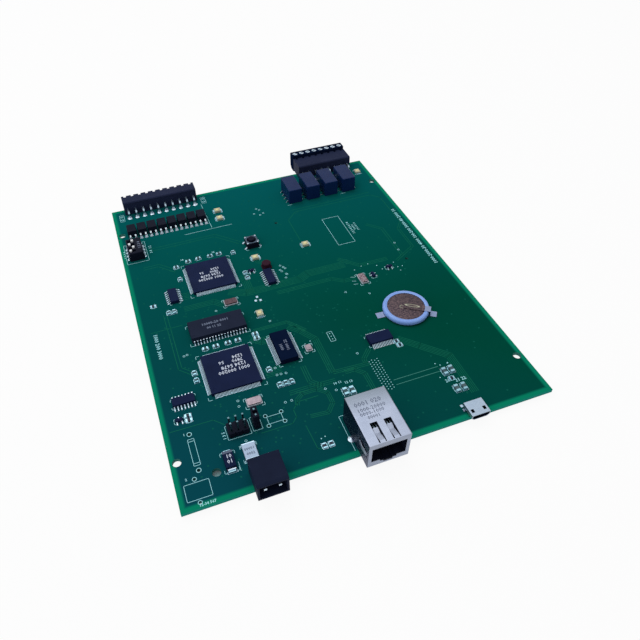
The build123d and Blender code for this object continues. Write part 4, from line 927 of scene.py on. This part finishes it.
def addJoint(x, y, radius, pin, above=True):    # solder round a pin, always with its cone underneath
    if above:
        rise = jointLook["rise"] * radius
        addTurned(joints, spot(x, y), (
            (pin, -0.1), (radius, -0.02), (radius, 0.06), (radius * 0.72, 0.2 * rise),
            (pin * 1.5, 0.6 * rise), (pin * 1.15, rise), (pin * 0.7, rise)), jointLook["sides"])
    drop = min(jointLook["drop"] * radius, jointLook["deepest"])
    addTurned(joints, spot(x, y, underside), (
        (pin, 0.1), (radius, 0.02), (radius, -0.06), (radius * 0.74, -0.25 * drop),
        (pin * 1.6, -0.65 * drop), (pin * 1.1, -drop), (pin * 0.7, -drop)), jointLook["sides"])


# A bent pin goes down through the board at one end, a straight one in its middle.
for low, high in solidsOf("wiring_header_pins") + solidsOf("plug_header_pins"):
    addJoint((low.x + high.x) / 2, low.y + 0.4, radius=1.35, pin=0.55)
for low, high in solidsOf("power_header_pins"):
    addJoint((low.x + high.x) / 2, high.y - 0.5, radius=1.2, pin=0.6)
for low, high in solidsOf("header_posts"):
    addJoint((low.x + high.x) / 2, (low.y + high.y) / 2, radius=0.8, pin=0.42, above=False)
for low, high in solidsOf("jack_contacts"):
    addJoint((low.x + high.x) / 2, high.y - 0.17, radius=0.5, pin=0.24, above=False)
jackTab = {"inset": 0.12, "along": 12.2}    # the shield's tabs, from its side walls and its near end
low, high = boxes["jack_shield"][0]
for x in (low.x + jackTab["inset"], high.x - jackTab["inset"]):
    addJoint(x, low.y + jackTab["along"], radius=1.35, pin=0.12)
legInset = 0.12    # from the outer face of a switch leg to its middle
for low, high in solidsOf("dip_switch_pins"):
    middle = (low + high) / 2
    outward = middle.x - nearestCentre(middle, boxes["dip_switch"]).x
    addJoint(high.x - legInset if outward > 0 else low.x + legInset, middle.y, radius=0.75, pin=0.32)
makePiece("pinJoints", joints, solder, smooth=50)

rings = bmesh.new()
holeShadeDiscs = bmesh.new()
holeRings = (    # x, y, inner radius, outer radius
    (36.95, 26.7, 0.62, 0.8), (43.1, 26.7, 0.62, 0.8), (43.1, 22.25, 0.62, 0.8),
    (36.95, 22.25, 0.62, 0.8), (9.05, 28.8, 0.72, 0.92), (9.05, 13.6, 0.72, 0.92),
    (6.9, 10.8, 0.62, 0.8), (6.9, 1.9, 0.62, 0.8),
)
holeRingSides = 24
for x, y, inner, outer in holeRings:
    addRing(rings, x, y, inner, outer, layer["sink"], layer["pad"], holeRingSides)
    addRing(rings, x, y, inner, outer, underside - layer["pad"], underside - layer["sink"], holeRingSides)
testRings = (
    (126.1, 96.0), (126.7, 101.4), (100.2, 72.9), (90.6, 77.4), (80.8, 42.6), (33.5, 86.6),
    (53.5, 72.4), (16.3, 66.2), (15.0, 65.9), (47.1, 43.5), (48.7, 43.4), (50.7, 43.2),
    (47.5, 47.1), (29.4, 36.9), (29.1, 34.3), (45.9, 30.0), (48.4, 30.0), (27.4, 19.1),
    (28.0, 41.4), (65.9, 28.6), (62.2, 30.6), (70.1, 103.8), (70.2, 98.5), (69.0, 96.3),
    (69.1, 105.3), (70.7, 102.7), (68.1, 102.3), (69.9, 98.8), (68.6, 101.2), (71.9, 153.3),
    (69.6, 149.4), (72.3, 147.4), (74.3, 148.5), (73.1, 151.9), (97.6, 43.0),
)
testRing = {"inner": 0.34, "outer": 0.5, "sides": 12, "wellSides": 10}
for x, y in testRings:
    inner = testRing["inner"]
    addRing(rings, x, y, inner, testRing["outer"], layer["sink"], layer["pad"], testRing["sides"])
    # each ring's centre is a flat dark disc of painted shade in place of the hole's shaded inside
    addTurned(holeShadeDiscs, spot(x, y), ((0.0, layer["sink"]), (inner, layer["sink"]), (inner, layer["trace"]),
                                  (0.0, layer["trace"])), testRing["wellSides"])
makePiece("holeRings", rings, silkInk, smooth=40)
makePiece("ringCentreShade", holeShadeDiscs, ringShade)

viaLook = {    # lengths in mm; most of them lie round the centre
    "count": 330, "seed": 7, "bore": 0.13, "radius": 0.36, "height": 0.02, "sides": 8,
    "edge": 4.0, "gap": 1, "centre": (42, 72), "spread": (34, 48), "least": 0.2,
}
viaHeights = ((layer["sink"], viaLook["height"]),
              (underside - viaLook["height"], underside - layer["sink"]))
vias = bmesh.new()
dice = random.Random(viaLook["seed"])
blocked = [box for group in boxes.values() for box in group]
placed = 0
while placed < viaLook["count"]:
    x = dice.uniform(viaLook["edge"], boardWidth - viaLook["edge"])
    y = dice.uniform(viaLook["edge"], boardLength - viaLook["edge"])
    offX = (x - viaLook["centre"][0]) / viaLook["spread"][0]
    offY = (y - viaLook["centre"][1]) / viaLook["spread"][1]
    crowd = viaLook["least"] + (1 - viaLook["least"]) * math.exp(-offX ** 2 - offY ** 2)
    if dice.random() > crowd:
        continue
    gap = viaLook["gap"]
    if any(low.x - gap < x < high.x + gap and low.y - gap < y < high.y + gap for low, high in blocked):
        continue
    for low, high in viaHeights:
        addRing(vias, x, y, viaLook["bore"], viaLook["radius"], low, high, viaLook["sides"])
    placed += 1
makePiece("viaRings", vias, maskRing)
print("solder and rings made")

underPaths = (
    (((6.0, 166.0), (6.0, 60.0), (20.0, 46.0), (20.0, 30.0)), 5, 0.9),
    (((12.0, 150.0), (52.0, 110.0), (52.0, 60.0), (64.0, 48.0)), 6, 0.9),
    (((60.0, 160.0), (96.0, 124.0), (96.0, 60.0), (84.0, 48.0), (84.0, 20.0)), 6, 0.9),
    (((120.0, 160.0), (120.0, 90.0), (112.0, 82.0), (74.0, 82.0)), 4, 1.0),
    (((134.0, 140.0), (134.0, 30.0), (118.0, 14.0)), 3, 1.0),
    (((30.0, 16.0), (44.0, 30.0), (72.0, 30.0)), 4, 1.0),
    (((24.0, 112.0), (24.0, 76.0), (40.0, 60.0)), 6, 0.8),
)
underTraces = bmesh.new()
addBundles(underTraces, underPaths, traceWidth["under"], underside - layer["trace"],
           underside - layer["sink"])
makePiece("undersideTraces", underTraces, maskTrace)

white = (1.0, 1.0, 1.0, 1.0)
floorLook = {    # size in m, margin in mm; keep and under: how much glows in the open and below the board
    "size": 6.0, "colour": (0.86, 0.87, 0.88, 1.0), "shaded": (0.36, 0.74, 0.8, 1.0),
    "margin": 6.5, "keep": 0.93, "under": 0.05,
}
ground = bmesh.new()
bmesh.ops.create_grid(ground, x_segments=1, y_segments=1, size=floorLook["size"] / 2,
                      matrix=Matrix.Translation((0.0, 0.0, cadLow.z)))
floorMesh = bpy.data.meshes.new("studioFloor")
ground.to_mesh(floorMesh)
ground.free()
floor = bpy.data.objects.new("studioFloor", floorMesh)
bpy.context.scene.collection.objects.link(floor)
paint = Finish("floorPaint", Roughness=0.9, Specular_IOR_Level=0.0)
seen = paint.node("LightPath", out="Is Camera Ray") | paint.node("LightPath", out="Is Glossy Ray")
glow = paint.node("Emission", {}, {"Color": white, "Strength": 1.0})
shader = Signal(paint, paint.shader.outputs[0])
across, along = axesOf(paint)[:2]
covered = ((abs(across - (boardLow.x + boardHigh.x) / 2) < (boardWidth / 2 - floorLook["margin"]) * mm) &
           (abs(along - (boardLow.y + boardHigh.y) / 2) < (boardLength / 2 - floorLook["margin"]) * mm))
# under the board the floor's colour is painted teal: painted shade tinted by green light from the board
paint.feed(Base_Color=paint.mix(covered, floorLook["colour"], floorLook["shaded"]))
keep = paint.node("MapRange", {}, {"Value": covered, "To Min": floorLook["keep"],
                                   "To Max": floorLook["under"]})
blended = paint.node("MixShader", {}, {0: seen * keep, 1: shader, 2: glow})
below = paint.node("NewGeometry", out="Backfacing")    # from underneath, the floor doesn't hide the board
surface = paint.node("MixShader", {}, {0: below, 1: blended, 2: paint.node("BsdfTransparent")})
paint.plug(paint.tree.nodes["Material Output"].inputs["Surface"], surface)
floorMesh.materials.append(paint.material)

worldLook = {"unseen": 0.4, "seen": 1.0}    # strength as light, and as the camera or a mirror sees it
world = bpy.data.worlds.new("studioWorld")
world.use_nodes = True
bpy.context.scene.world = world
sky = Graph(world.node_tree)
shown = sky.node("LightPath", out="Is Camera Ray") | sky.node("LightPath", out="Is Glossy Ray")
level = sky.node("MapRange", {}, {"Value": shown, "To Min": worldLook["unseen"],
                                  "To Max": worldLook["seen"]})
backdrop = world.node_tree.nodes["Background"]
sky.plug(backdrop.inputs["Strength"], level)
sky.plug(backdrop.inputs["Color"], white)

studioLights = {    # name: place, power in watts, size in metres
    "overheadSoftbox": ((-0.15, 0.35, 0.9), 4.6, 0.9),
    "sideSoftbox": ((-0.8, -0.3, 0.6), 1.6, 0.7),
}
for name, (place, power, size) in studioLights.items():
    data = bpy.data.lights.new(name, "AREA")
    data.energy = power
    data.size = size
    light = bpy.data.objects.new(name, data)
    light.location = place
    light.rotation_euler = (-Vector(place)).to_track_quat("-Z", "Y").to_euler()    # aimed at the board
    bpy.context.scene.collection.objects.link(light)
print("floor and lights set")
